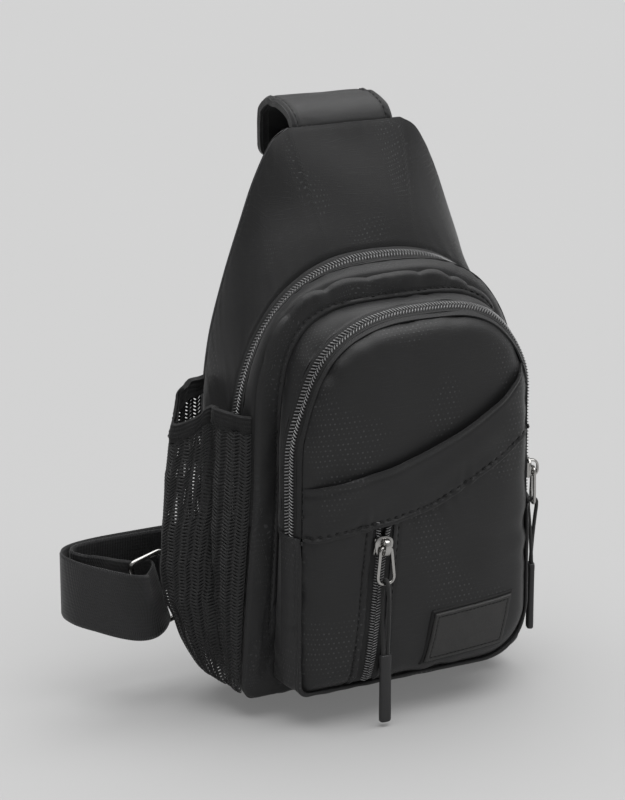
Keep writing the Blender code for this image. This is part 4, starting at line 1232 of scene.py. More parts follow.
@dataclass(frozen=True)
class BagShape:
    """The bag's outlines and crowned front, in bag millimetres."""

    cloth: float = 1.5
    zip_end: float = 102.0
    main_half: float = 92.0
    main_inset: float = 5.5
    main_top: float = 237.0
    main_rise: float = 7.0
    main_face_y: float = 36.5
    main_wall_y: float = 38.3
    main_zip_y: float = 54.5
    shield_y: float = 60.3
    back_y: float = 94.0
    back_heights: tuple = (0, 4, 14, 30, 60, 100, 140, 170, 200, 230, 260, 285, 305, 312)
    back_halves: tuple = (83, 88, 91, 92, 93, 93, 92, 90.5, 86, 77.5, 67, 57.5, 46.5, 36)
    front_zip_y: float = 17.0
    front_slope_y: float = 24.0
    front_rear_y: float = 36.2
    front_inset: float = 6.5
    front_y: float = 8.0
    front_crown: float = 7.0
    coil: float = 6.0
    layer: float = 2.3
    slash: tuple = ((-73, 130), (-22, 139), (12, 150), (34, 160), (52, 172), (73, 192))
    stitch: tuple = ((-73, 100), (-33, 105.5), (-17, 107.5), (7, 113), (35, 126), (53, 135), (73, 147))
    pocket_zip_x: float = -28.0
    pocket_zip_lean: float = -0.095
    pocket_slider_z: float = 94.0
    side_slider_z: float = 118.0
    main_tapes: tuple = (49.0, 60.2)
    front_tapes: tuple = (9.8, 22.7)
    slump_in: float = 8.0
    slump_down: float = 4.0
    low_lean: float = 3.6

    @property
    def middle(self) -> Grid:
        """A point inside the bag, from which its walls look outwards."""
        return np.array([0, self.main_zip_y, self.main_half * 1.3])

    def main_arch(self, y: float) -> Arch:
        """Return the main compartment's outline at depth y; it widens and rises towards the zip.

        Args:
            y: the depth.

        Returns:
            The outline there.
        """
        share = (y - self.main_wall_y) / (self.main_zip_y - self.main_wall_y)
        near = float(np.clip(1 - share, 0, 1))
        return Arch(self.main_half - self.main_inset * near, 128.0, self.main_top + self.main_rise * share,
                    2.4 + 1.1 * near, 0.0, 9.0, foot=self.main_half)

    def front_arch(self, y: float) -> Arch:
        """Return the front compartment's outline at depth y; it narrows before and behind its slope.

        Args:
            y: the depth.

        Returns:
            The outline there.
        """
        near = float(np.clip((self.front_slope_y - y) / (self.front_slope_y - self.front_y), 0, 1) ** 1.6)
        far = float(np.clip((y - self.front_slope_y) / (self.front_rear_y - self.front_slope_y), 0, 1))
        foot = 78.0 - 5 * near
        half = foot - 1.5 * near - self.front_inset * far
        return Arch(half, 128.0, 223.0 - 7 * near, 2.7 + 0.2 * near + 1.4 * far, 10.5, 5.0, 30.0, foot)

    @property
    def front_outline(self) -> Arch:
        """The front panel's outline."""
        return self.front_arch(self.front_y)

    def back_edge(self, low: float, count: int) -> Grid:
        """Return (x, z) up the back's left edge from a height to the middle of its top.

        Args:
            low: the lowest height.
            count: number of points.

        Returns:
            The (x, z) points.
        """
        points = np.stack([-np.array(self.back_halves, float), np.array(self.back_heights, float)], axis=1)
        smooth = smooth_line(points)
        start = np.array([[np.interp(low, smooth[:, 1], smooth[:, 0]), low]])
        path = np.vstack([start, smooth[smooth[:, 1] > low], [[0, points[-1, 1]]]])
        return even_steps(path, count)

    def back_half(self, z: Grid) -> Grid:
        """Return the back's half width at heights z."""
        return np.interp(z, self.back_heights, self.back_halves)

    def slumped(self, points: Grid) -> Grid:
        """Return points of the main front panel and its gussets where the filled bag has sagged.

        The right shoulder slumps inwards and down, nil at the main zip. The lower part leans to the
        left, nil at the back.

        Args:
            points: points in bag millimetres.

        Returns:
            The moved points.
        """
        x, y, z = np.moveaxis(np.asarray(points, float), -1, 0)
        slump = eased(x, 12, 60) * eased(z, 150, 200)
        slump = slump * np.interp(y, (self.main_wall_y, self.main_zip_y - 5), (1, 0))
        lean = (1 - eased(z, 20, 150)) * np.interp(y, (self.main_wall_y, self.back_y), (1, 0))
        aside = self.slump_in * slump + self.low_lean * lean
        return xyz(x - aside, y, z - self.slump_down * slump)

    def front_depth(self, x: Grid, z: Grid, layer: float = 0.0) -> Grid:
        """Return the depth of the crowned front at (x, z), layer in front of the front panel.

        Args:
            x: places across.
            z: heights.
            layer: millimetres in front.

        Returns:
            Depths.
        """
        outline = self.front_outline
        across = np.clip(np.abs(x) / np.maximum(outline.half_at(z, x), 1), 0, 1)
        middle = (outline.base + outline.top) / 2
        up = np.clip(np.abs(z - middle) / (outline.top - middle), 0, 1)
        return self.front_y - layer - self.front_crown * (1 - across**4) * (1 - up**12)

    def on_front(self, x: Grid, z: Grid, layer: float) -> Grid:
        """Return points on the crowned front."""
        return xyz(x, self.front_depth(x, z, layer), z)

    def slash_height(self, x: Grid) -> Grid:
        """Return the height of the slash pocket's open edge at x."""
        return np.interp(x, *smooth_line(self.slash).T)

    def stitch_height(self, x: Grid) -> Grid:
        """Return the height of the slash pocket's stitched lower edge at x."""
        return np.interp(x, *smooth_line(self.stitch).T)

    def pocket_zip_middle(self, z: Grid) -> Grid:
        """Return the pocket zip's x at height z."""
        return self.pocket_zip_x + self.pocket_zip_lean * (self.pocket_slider_z - z)


def from_loop(loop: Grid, x: Grid, z: Grid) -> tuple:
    """Return each point's distance from a closed (x, z) loop and its place along that loop.

    Args:
        loop: the outline at equal steps.
        x: places across.
        z: heights.

    Returns:
        Distances, and millimetres along the loop.
    """
    flat = np.stack([x, z], axis=-1).reshape(-1, 2)
    gap = np.linalg.norm(flat[:, None] - loop[None], axis=-1)
    step = np.linalg.norm(loop[1] - loop[0])
    return gap.min(axis=1).reshape(x.shape), (gap.argmin(axis=1) * step).reshape(x.shape)


def at_depth(path: Grid, y: object) -> Grid:
    """Return a flat (x, z) path as points at one depth."""
    return xyz(path[:, 0], y, path[:, 1])


def arched_band(outline: Callable[[float], Arch], depths: Grid, foot: float, count: int) -> Grid:
    """Return a grid of points over an arch, one row per depth."""
    return np.stack([at_depth(outline(float(y)).over(foot, count), y) for y in depths])


def pillow(share: Grid, height: float, fullness: float = 0.5) -> Grid:
    """Return the swell of a cloth band between two seams: nil at shares 0 and 1, flat in the middle."""
    return height * (4 * share * (1 - share)).clip(0) ** fullness


# Main compartment

@dataclass
class MainCompartment:
    """The shield, the gussets, the main front panel and the padded back."""

    shape: BagShape
    shop: Workshop
    columns: int = 420
    shield_rows: int = 64
    band_rows: int = 22
    strip_y: float = 48.7
    border: float = 14.0
    border_tilt: float = 1.6
    stitch_out: float = 3.0
    hollow: float = 3.0
    pinches: tuple = (-1.6, -1.1, -0.78, -0.556, -0.349, -0.131, 0.14, 0.341, 0.466, 0.7, 1.0, 1.6)
    centre: tuple = (0.0, 115.0)
    inmost: float = 0.995
    lining: float = 1.2
    foam: float = 5.0
    foam_inset: float = 5.0
    cover_rise: float = 7.6
    cover_edge: float = 14.0
    channel_x: float = 24.0

    def build(self) -> None:
        """Make every piece of the compartment."""
        self.shield()
        self.front_gusset()
        self.lower_gusset()
        self.front_panel()
        self.back()

    def shield_surface(self) -> Grid:
        """Return the shield's grid from the main zip's rear tape to the back's edge.

        Each row lies an even share of the way from the zip's arch to the back's outline, and the right
        half mirrors the left.

        Returns:
            Points by row and column.
        """
        shape = self.shape
        half = self.columns // 2 + 1
        front = shape.main_arch(shape.shield_y).over(shape.zip_end, self.columns + 1)[:half]
        rear = shape.back_edge(shape.zip_end, half)
        share = np.linspace(0, 1, self.shield_rows)[:, None, None]
        flat = front + (rear - front) * share
        depth = shape.shield_y + (shape.back_y - SEAM_GAP - shape.shield_y) * share[..., 0]
        left = xyz(flat[..., 0], depth, flat[..., 1])
        return np.concatenate([left, left[:, -2::-1] * [-1, 1, 1]], axis=1)

    def shield(self) -> None:
        """Make the shield: crowned, gathered at the zip, with long faint stretch folds."""
        surface = self.shield_surface()
        share = np.linspace(0, 1, self.shield_rows)[:, None]
        along = arc_lengths(surface, 1)
        from_zip = arc_lengths(surface, 0)
        from_zip = from_zip - from_zip[:1]
        to_back = from_zip[-1:] - from_zip
        bow = np.sin(np.pi * share)
        relief = 0.8 * bow**0.8 * np.ones_like(along)
        relief += 0.2 * seam_puckers(along, from_zip, 15, 8, 3)
        relief += 0.1 * seam_puckers(along, to_back, 17, 7, 5)
        spread = np.stack([surface[..., 0] / 3.2, surface[..., 2]], axis=-1)
        relief += 0.03 * ripple(spread, 11, 11) * bow * np.clip(np.abs(surface[..., 0]) / 45, 0.2, 1)
        relief += 0.8 * ripple(surface[..., [0, 2]], 62, 12) * bow
        relief -= self.hollow * bow * eased(surface[..., 0], 20, 60)
        relief -= 0.8 * bell(from_zip, 1.6) + 0.15 * bell(to_back, 1.8)
        self.shop.cloth("shield", surface, self.shape.cloth, nodes=["shield_panel"], relief=relief)

    def scallops(self, x: Grid, z: Grid) -> Grid:
        """Return the uneven lobes of the gathered seam round the main front panel.

        They are the size of a sine between pinches at given angles round the panel's middle, so each
        lobe is round and the pinches between are sharp. A slow ripple weakens some lobes.

        Args:
            x: places across.
            z: heights.

        Returns:
            Heights of the lobes, about 0.
        """
        angle = np.arctan2(x, z - self.centre[1])
        turns = np.interp(angle, self.pinches, np.arange(len(self.pinches)))
        lobes = np.abs(np.sin(np.pi * turns)) ** 0.7
        strength = np.clip(0.8 + 0.4 * ripple(angle[..., None], 0.8, 49, 5), 0.3, 1.2)
        return (lobes - 0.7) * strength * (0.1 + 0.9 * eased(z, 150, 205))

    def front_gusset(self) -> None:
        """Make the strip between the main front panel's gathered seam and the main zip."""
        shape = self.shape
        share = np.linspace(0, 1, self.band_rows)[:, None]
        depths = shape.main_wall_y + (self.strip_y - shape.main_wall_y) * share[:, 0]
        surface = shape.slumped(arched_band(shape.main_arch, depths, shape.zip_end, self.columns))
        along = arc_lengths(surface, 1)
        width = depths[-1] - depths[0]
        relief = pillow(share, 0.6, 0.6) - 0.3 - 2.4 * bell(share * width, 2.2) + 0 * along
        relief += 0.8 * self.scallops(surface[0, :, 0], surface[0, :, 2]) * np.exp(-share * width / 4)
        relief += 0.3 * seam_puckers(along, (1 - share) * width, 12, 3, 23)
        self.shop.cloth("main_gusset_strip", surface, shape.cloth, nodes=["main_gusset_front"],
                        relief=relief)

    def lower_gusset(self) -> None:
        """Make the wall round the base and the lower sides, slack between its seams."""
        shape = self.shape
        end = shape.zip_end - SEAM_GAP
        front = shape.main_arch(shape.main_wall_y).under(end, self.columns)
        edge = shape.back_edge(0.0, self.columns)
        side = edge[(edge[:, 1] < end) & (edge[:, 0] < -60)]
        side = np.vstack([[[np.interp(end, side[:, 1], side[:, 0]), end]], side[::-1]])
        rear = even_steps(np.vstack([side, side[::-1] * [-1, 1]]), self.columns)
        share = np.linspace(0, 1, 40)[:, None, None]
        flat = front + (rear - front) * share
        width = shape.back_y - SEAM_GAP - shape.main_wall_y
        away = share[..., 0] * width
        back = width - away
        surface = shape.slumped(xyz(flat[..., 0], shape.main_wall_y + away, flat[..., 1]))
        along = arc_lengths(surface, 1)
        inside = np.clip((surface[..., 2] - 1.5) / 8, 0, 1)
        relief = -pillow(share[..., 0], 0.8) * inside + 0.3 * seam_puckers(along, away, 14, 7, 31)
        relief += 0.3 * seam_puckers(along, back, 16, 7, 33) - 0.3
        self.shop.cloth("main_gusset_wall", surface, shape.cloth, nodes=["main_gusset_lower"],
                        relief=relief)

    def front_panel_surface(self) -> tuple:
        """Return the main front panel's grid, each point's distance inwards and the panel's outline.

        Rows run from the outline towards the panel's centre, closer together on the border.

        Returns:
            The grid, the distances and the outline.
        """
        shape = self.shape
        loop = shape.main_arch(shape.main_wall_y).round_loop(self.columns)
        centre = np.array(self.centre)
        reach = np.linalg.norm(loop - centre, axis=1)
        near = np.linspace(0, 1, 26) ** 1.1 * self.border * 1.4
        inward = np.concatenate([near, np.linspace(self.border * 1.6, 60, 8)])[:, None]
        share = np.clip(inward / reach, 0, self.inmost)
        share = np.vstack([share, np.full((1, len(loop)), self.inmost)])
        flat = loop + (centre - loop) * share[..., None]
        return xyz(flat[..., 0], shape.main_face_y, flat[..., 1]), share * reach, loop

    def front_panel(self) -> None:
        """Make the panel that carries the front compartment: a soft border with a gathered edge."""
        shape = self.shape
        surface, away, loop = self.front_panel_surface()
        along = np.broadcast_to(run_length(loop), away.shape)
        share = np.clip(away / self.border, 0, 1)
        lobes = self.scallops(loop[:, 0], loop[:, 1])
        surface = shape.slumped(surface)
        surface[..., 1] += 2.2 * bell(away, 1.1, power=1.5) - self.border_tilt * share
        spread = 1.9 * lobes * np.exp(-away / 6)
        surface[..., [0, 2]] += unit(loop - self.centre) * spread[..., None]
        front = shape.front_arch(shape.front_rear_y).round_loop(SEAM_POINTS)
        seam, _ = from_loop(front, surface[..., 0], surface[..., 2])
        relief = pillow(share, 0.5, 0.6) + 1.3 * lobes * bell(away, 6)
        relief += 0.8 * bell(seam, 1.3, self.stitch_out / 2, 4)
        relief -= 0.4 * bell(seam, 0.7, self.stitch_out)
        relief += 0.3 * ripple(surface[..., [0, 2]], 24, 43) * np.sin(np.pi * share)
        relief += 0.14 * seam_puckers(along, away, 5, 11, 45) * (share < 1)
        self.shop.cloth("main_front_border", surface, shape.cloth, nodes=["main_front_panel"],
                        relief=relief, loop=True, outwards=FORWARDS)
        self.border_stitches()

    def border_stitches(self) -> None:
        """Make the topstitching on the border, just outside the front compartment."""
        shape = self.shape
        ring = shape.front_arch(shape.front_rear_y)
        outer = Arch(ring.half + self.stitch_out, ring.spring, ring.top + self.stitch_out, ring.power,
                     ring.base - self.stitch_out, ring.corner, foot=ring.foot + self.stitch_out)
        line = at_depth(outer.over(20.0, 500), shape.main_face_y)
        self.shop.stitch("border_stitches", "main_front_border", [line], Stitching(4.2, 2.8, 0.8))

    def back_plate(self, inset: float, y: float, rows: int, columns: int) -> Grid:
        """Return a grid over the back's outline at one depth, rows from the base to the top.

        Args:
            inset: millimetres inside the outline.
            y: the depth.
            rows: rows of points.
            columns: points in a row.

        Returns:
            Points by row and column.
        """
        top = self.shape.back_heights[-1]
        edge = self.shape.back_edge(0.0, 200)
        edge = edge[edge[:, 0] < -self.shape.back_halves[-1] + 0.01]
        z = np.interp(np.linspace(0, 1, rows), np.linspace(0, 1, len(edge)), edge[:, 1])
        half = -np.interp(z, edge[:, 1], edge[:, 0]) - inset
        z = inset + z * (1 - 2 * inset / top)
        return xyz(half[:, None] * close_ended(columns), y, z[:, None])

    def back(self) -> None:
        """Make the lining, the foam and the padded mesh cover of the back."""
        shape, shop = self.shape, self.shop
        lining = self.back_plate(0.0, shape.back_y + self.lining, 30, 24)
        shop.cloth("back_lining_cloth", lining, self.lining, Cloth.LINING, ["back_lining"],
                   outwards=BACKWARDS)
        foam = self.back_plate(self.foam_inset, shape.back_y + self.lining + self.foam + SEAM_GAP, 30, 24)
        padding = shop.cloth("back_padding", foam, self.foam, Cloth.FOAM, ["back_foam"], outwards=BACKWARDS)
        cover = self.back_plate(0.0, shape.back_y + 1.4, 150, 120)
        edge = np.minimum(-np.abs(cover[..., 0]) + np.abs(cover[:, -1:, 0]), cover[..., 2])
        edge = np.minimum(edge, shape.back_heights[-1] - cover[..., 2])
        cover[..., 1] += self.cover_rise * np.sin(np.pi / 2 * np.clip(edge / self.cover_edge, 0, 1)) ** 0.8
        crown = np.clip(edge / 40, 0, 1) ** 0.5
        relief = 1.2 * crown + 0.25 * ripple(cover[..., [0, 2]], 40, 51) * crown
        ends = np.clip((270 - cover[..., 2]) / 20, 0, 1) * np.clip((cover[..., 2] - 18) / 16, 0, 1)
        relief -= 1.9 * bell(np.abs(cover[..., 0]), 3.0, self.channel_x) * ends
        shop.cloth("back_cover_mesh", cover, shape.cloth, Cloth.AIR_MESH, ["back_cover"], relief,
                   outwards=BACKWARDS)


# Front compartment

@dataclass
class FrontCompartment:
    """The gussets, the crowned front panel, the slash pocket, its panels and the bare patch."""

    shape: BagShape
    shop: Workshop
    columns: int = 420
    tape_y: float = 22.8
    wall_y: float = 9.8
    lap_rise: float = 9.0
    welt_size: tuple = (2.9, 2.7)
    centre: tuple = (0.0, 118.0)
    dents: tuple = ((-58, 194, 1.3, 5), (-52, 136, 1.6, 9), (62, 186, 0.9, 6))
    facing_lap: float = 1.2
    facing_stitch: float = 2.0
    opening: float = 6.6
    placket: float = 3.4
    patch_x: float = 29.0
    patch_z: float = 34.5
    patch_width: float = 51.5
    patch_height: float = 29.0
    patch_lean: float = 6.0
    patch_rise: float = 2.5
    patch_thick: float = 1.6
    patch_shadow_margin: float = 1.7
    patch_stitch: float = 2.4

    def build(self) -> None:
        """Make every piece of the compartment."""
        self.upper_gusset()
        self.lower_gusset()
        self.front_panel()
        self.facing()
        for side in (-1, 1):
            self.pocket_panel(side)
        self.patch()

    def upper_gusset(self) -> None:
        """Make the arched strip behind the front zip."""
        share = np.linspace(0, 1, 24)[:, None]
        width = self.shape.front_rear_y - self.tape_y
        depths = self.tape_y + width * share[:, 0]
        surface = arched_band(self.shape.front_arch, depths, self.shape.zip_end, self.columns)
        along = arc_lengths(surface, 1)
        relief = pillow(share, 0.9, 0.8) - 0.1 + 0 * along
        relief += 0.4 * seam_puckers(along, share * width, 18, 5, 61)
        relief += 0.45 * seam_puckers(along, (1 - share) * width, 13, 4, 63)
        self.shop.cloth("front_gusset_strip", surface, self.shape.cloth, nodes=["front_gusset_upper"],
                        relief=relief)

    def lower_gusset(self) -> None:
        """Make the wall round the base and lower sides, which laps over the zip's ends."""
        share = np.linspace(0, 1, 36)[:, None]
        width = self.shape.front_rear_y - self.wall_y
        away = share * width
        depths = self.wall_y + away[:, 0]
        end = self.shape.zip_end - SEAM_GAP + self.lap_rise * share**2.4
        surface = np.stack([at_depth(self.shape.front_arch(y).under(float(top), self.columns), y)
                            for y, top in zip(depths, end[:, 0])])
        along = arc_lengths(surface, 1)
        lap = bell((end - surface[..., 2]).clip(0), 3.5)
        relief = 1.5 * lap + 0 * along
        relief += 1.2 * bell(away, 1.6, 1.5) * (1 - lap)
        relief += 0.5 * bell(away, 4.0, 6.0) - 0.4 * eased(away, 9, 26)
        relief += 0.5 * seam_puckers(along, away, 11, 6, 71)
        relief += 0.4 * seam_puckers(along, away[::-1], 15, 6, 73)
        relief -= 0.3 * bell(width - away, 1.6)
        self.shop.cloth("front_gusset_wall", surface, self.shape.cloth, nodes=["front_gusset_lower"],
                        relief=relief)
        self.welt()

    def welt(self) -> None:
        """Make the rolled lip of the wall in front of its seam with the front panel."""
        flat = self.shape.front_arch(self.wall_y).under(self.shape.zip_end - 3.0, self.columns)
        path = at_depth(flat, self.wall_y)
        run = unit(np.gradient(path, axis=0))
        out = np.cross(run, BACKWARDS)
        out = out * np.sign(np.sum(out * (path - self.shape.middle)))
        length = run_length(path)
        swell = 1 + 0.1 * ripple(length[:, None], 17, 77)
        ends = eased(np.minimum(length, length[-1] - length), 0, 12)
        low = 1 - eased(path[:, 2], 14, 34)
        line = path + out * (0.3 + 0.6 * low)[:, None] - BACKWARDS * (0.2 + 0.9 * low)[:, None]
        size = swell * (0.35 + 0.65 * ends) * (0.75 + 0.25 * low)
        section = round_section(*self.welt_size, 2, 14)
        item = self.shop.sweep("front_welt", line, BACKWARDS, section, Cloth.NYLON, scale=size)
        self.shop.seat(item, Cloth.NYLON)

    def from_edge(self, x: Grid, z: Grid) -> tuple:
        """Return each point's distance from the front's seam and its place along that seam."""
        return from_loop(self.shape.front_outline.round_loop(SEAM_POINTS), x, z)

    def front_relief(self, x: Grid, z: Grid, seed: int, gather: float) -> Grid:
        """Return the front cloth's relief: gathers beside its seam and slow swells.

        Args:
            x: places across.
            z: heights.
            seed: of the random draws.
            gather: depth of the gathers.

        Returns:
            Heights in millimetres.
        """
        away, along = self.from_edge(x, z)
        relief = gather * seam_puckers(along, away, 21, 7.5, seed)
        relief += 0.45 * ripple(np.stack([x, z], axis=-1), 46, seed + 5) * np.clip(away / 20, 0, 1)
        return relief

    def front_panel(self) -> None:
        """Make the crowned front panel, seen above the slash pocket."""
        shape = self.shape
        loop = shape.front_outline.round_loop(self.columns)
        share = stretches((0, 0.16, 18), (0.18, 0.995, 40))[:, None, None]
        flat = loop + (np.array(self.centre) - loop) * share
        surface = shape.on_front(flat[..., 0], flat[..., 1], 0.0)
        surface[..., 1] += self.seam_drop(self.from_edge(flat[..., 0], flat[..., 1])[0])
        relief = self.front_relief(flat[..., 0], flat[..., 1], 81, 0.45)
        for x, z, deep, wide in self.dents:
            relief -= deep * bell(flat[..., 0], wide, x) * bell(flat[..., 1], wide * 1.3, z)
        behind = np.clip((shape.slash_height(flat[..., 0]) + 6 - flat[..., 1]) / 12, 0, 1)
        relief = relief * (1 - behind) - 0.4 * behind
        self.shop.cloth("front_panel_cloth", surface, shape.cloth, nodes=["front_panel"], relief=relief,
                        loop=True, outwards=FORWARDS)

    def ends_at(self, height: Callable[[Grid], Grid], side: int) -> Grid:
        """Return the x at which lines of heights meet the front's seam on one side.

        Args:
            height: heights of the lines at x.
            side: -1 left, 1 right.

        Returns:
            One x per line.
        """
        x = side * np.full(np.shape(height(0.0)), self.shape.front_outline.half)
        for _ in range(MEETING_ROUNDS):
            x = side * self.shape.front_outline.half_at(height(x), side)
        return x

    def laid_on(self, x: Grid, z: Grid, layer: float) -> Grid:
        """Return points on the front, layer proud of it but tucked into its seam.

        Args:
            x: places across.
            z: heights.
            layer: millimetres proud.

        Returns:
            The points.
        """
        away, _ = self.from_edge(x, z)
        proud = 0.2 + (layer - 0.2) * (1 - bell(away, 5.0, power=1.5))
        surface = self.shape.on_front(x, z, 0.0)
        surface[..., 1] += self.seam_drop(away) - proud
        return surface

    def seam_drop(self, away: Grid) -> Grid:
        """Return how far the front cloth turns back into its seam, by the distance from the seam."""
        return 2.2 * bell(away, 2.7, power=1.5)

    def facing(self) -> None:
        """Make the slash pocket's facing: a slanted band, hemmed and slack at its open edge."""
        shape = self.shape
        share = stretches((0, 0.12, 8), (0.15, 0.8, 20), (0.83, 1, 14))[:, None]

        def height(x: Grid) -> Grid:
            """Return the heights of the facing's rows at x."""
            low = shape.stitch_height(x) - self.facing_lap
            return low + (shape.slash_height(x) - low) * share

        left, right = self.ends_at(height, -1), self.ends_at(height, 1)
        across = close_ended(220)[None, :]
        x = (left + right) / 2 + (right - left) / 2 * across
        z = height(x)
        surface = self.laid_on(x, z, shape.layer + 0.9)
        below = shape.slash_height(x) - z
        above = z - shape.stitch_height(x)
        slack = np.clip((1 - ((x - 22) / 58) ** 2), 0, 1)
        away, _ = self.from_edge(x, z)
        relief = 1.0 * slack * np.exp(-below / 9)
        relief += 0.7 * bell(below, 1.5, 1.6) - 0.35 * bell(below, 1.1, 4.6)
        pulled = 0.55 + 0.45 * np.cos(2 * np.pi * x / 5.0)
        relief += 0.5 * bell(above, 0.9, -0.3) - 0.9 * pulled * bell(above, 0.8, self.facing_stitch)
        relief += 0.5 * seam_puckers(x, above.clip(0), 9, 5, 91)
        relief += 0.35 * ripple(np.stack([x, z * 2], axis=-1), 30, 93)
        relief += 0.3 * seam_puckers(z, away, 10, 7, 95)
        self.shop.cloth("slash_facing", surface, shape.cloth, nodes=["slash_pocket_facing"], relief=relief,
                        outwards=FORWARDS)
        spread = np.linspace(left[0, 0] + 2, right[0, 0] - 2, 240)
        line = self.laid_on(spread, shape.stitch_height(spread) + self.facing_stitch, shape.layer + 0.75)
        self.shop.stitch("facing_stitches", "slash_facing", [line], Stitching(5.0, 3.4, 0.8))

    def pocket_panel(self, side: int) -> None:
        """Make the panel on one side of the pocket zip, folded and topstitched along the zip.

        Args:
            side: -1 left, 1 right.
        """
        shape = self.shape
        outline = shape.front_outline
        low = np.linspace(0, 0.3, 26) ** 1.6 / 0.3**0.6
        share = np.concatenate([low, np.linspace(0.32, 1, 40)])[:, None]
        across = stretches((0, 0.14, 12), (0.16, 0.8, 40), (0.81, 1, 16))[None, :]
        x = np.full((share.size, across.size), side * outline.half / 2)
        for _ in range(MEETING_ROUNDS):
            z = outline.base + (shape.stitch_height(x) + 0.5 - outline.base) * share
            inner = shape.pocket_zip_middle(z) + side * self.opening
            x = inner + (side * outline.half_at(z, side) - inner) * across
        surface = self.laid_on(x, z, shape.layer)
        from_zip = np.abs(x - inner)
        relief = self.front_relief(x, z, 101 + side, 0.5)
        relief += 0.55 * bell(from_zip, 1.0, 0.9)
        relief -= 0.6 * bell(from_zip, 0.8, self.placket)
        relief += 0.3 * seam_puckers(z, from_zip, 9, 5, 111 + side)
        relief += 0.4 * seam_puckers(x, (shape.stitch_height(x) - z).clip(0), 11, 6, 121 + side)
        word = "left" if side < 0 else "right"
        self.shop.cloth(f"pocket_front_{word}", surface, shape.cloth, nodes=[f"pocket_panel_{word}"],
                        relief=relief, outwards=FORWARDS)
        z = np.linspace(outline.base + 4, float(shape.stitch_height(shape.pocket_zip_x)) - 1, 200)
        x = shape.pocket_zip_middle(z) + side * (self.opening + self.placket)
        line = self.laid_on(x, z, shape.layer)
        self.shop.stitch(f"placket_stitches_{word}", f"pocket_front_{word}", [line], Stitching())

    def patch_point(self, across: Grid, up: Grid, layer: float) -> Grid:
        """Return points of the slanted patch at shares from -0.5 to 0.5 across and up it.

        Args:
            across: shares of the width.
            up: shares of the height.
            layer: millimetres proud.

        Returns:
            The points.
        """
        x = self.patch_x + across * self.patch_width + up * self.patch_lean
        z = self.patch_z + up * self.patch_height + across * self.patch_rise
        return self.shape.on_front(x, z, layer)

    def patch(self) -> None:
        """Make the bare leather patch: a rounded edge, a stitched groove and a sunk field, on a dark sheet
        of painted shadow.
        """
        step = close_ended(84) / 2
        across, up = np.meshgrid(step, step)
        size = np.array([self.patch_width, self.patch_height])
        half_way = 0.5 - np.abs(np.stack([across, up], axis=-1))
        top = self.shape.layer + SEAM_GAP + self.patch_thick
        surface = self.patch_point(across, up, top)
        inset = (half_way * size).min(axis=-1)
        relief = 0.3 - 0.7 * bell(inset, 0.45) - 0.5 * bell(inset, 0.6, self.patch_stitch)
        relief -= 0.2 * np.clip((inset - 3.0) / 0.8, 0, 1)
        relief += 0.05 * ripple(surface[..., [0, 2]], 9, 131)
        self.shop.cloth("label_patch_leather", surface, self.patch_thick, Cloth.PATCH, ["label_patch"],
                        relief, outwards=FORWARDS)
        # A very dark sheet, a little wider than the patch, lies under it: a painted shadow round the
        # patch's edge.
        wide = size + 2 * self.patch_shadow_margin
        beyond = wide / size
        seat = self.patch_point(across * beyond[0], up * beyond[1], self.shape.layer + 0.75)
        sunk = -0.6 * bell((half_way * wide).min(axis=-1), 0.5)
        self.shop.cloth("label_patch_painted_shadow", seat, 0.6, Cloth.THREAD_AND_PAINTED_SHADE, relief=sunk, outwards=FORWARDS)
        corners = np.array([[-1, -1], [1, -1], [1, 1], [-1, 1], [-1, -1]])
        corners = corners * (0.5 - self.patch_stitch / size)
        share = np.linspace(0, 1, 40)[:, None]
        edge = np.vstack([start + (end - start) * share for start, end in zip(corners[:-1], corners[1:])])
        line = self.patch_point(edge[:, 0], edge[:, 1], top - 0.35)
        self.shop.stitch("patch_stitches", "label_patch_leather", [line], Stitching(2.6, 2.0, 0.4))


# Zips

@dataclass
class CoilTeeth:
    """The teeth of a coil zip: bent nylon loops that reach in turn from each side to the middle.

    The profile gives, from a tooth's root to its head, the share of its reach and its height, width and
    thickness there.
    """

    pitch: float = 1.85
    reach: float = 3.1
    wire: float = 0.74
    slant: float = 1.1
    sides: int = 6
    profile: tuple = ((0.0, 0.3, 0.45, 0.45), (0.1, 0.85, 0.95, 0.95), (0.35, 1.0, 1.0, 1.0),
                      (0.7, 0.8, 0.95, 0.95), (0.92, 0.6, 1.1, 1.0), (1.0, 0.4, 0.5, 0.5))

    def beads(self, line: Grid, across: Grid, out: Grid, apart: Grid) -> tuple:
        """Return points and faces of teeth along a line.

        Each tooth is a tube across the zip: low at the tape, highest at its bend and widest at its head.

        Args:
            line: the zip's middle.
            across: direction across the zip at each point.
            out: outward direction at each point.
            apart: how far each side has been pulled away from the middle at each point.

        Returns:
            Points and faces.
        """
        return merged([self.side(line, across, out, apart, which) for which in (-1, 1)])

    def side(self, line: Grid, across: Grid, out: Grid, apart: Grid, which: int) -> tuple:
        """Return one side's teeth.

        Args:
            line: middle of the zip.
            across: direction across it.
            out: direction off the cloth.
            apart: gap beside the middle.
            which: -1 or 1, the side.

        Returns:
            Points and faces.
        """
        length = run_length(line)
        at = np.arange(self.pitch * (0.25 if which < 0 else 0.75), length[-1], self.pitch)
        side, lift = unit(sampled(across, length, at)) * which, unit(sampled(out, length, at))
        run = unit(np.cross(side, lift)) * which
        gap = np.interp(at, length, apart)[:, None, None]
        share, height, wide, tall = np.array(self.profile).T[..., None]
        turn = np.linspace(0, 2 * np.pi, self.sides, endpoint=False)
        beside = np.broadcast_to(self.reach - self.reach * share, (len(share), self.sides))
        ahead = self.slant * (share - 0.5) + wide * self.wire / 2 * np.cos(turn)
        above = height + tall * self.wire / 2 * np.sin(turn)
        return tubes_at(sampled(line, length, at), (side, run, lift), (beside + gap, ahead, above))


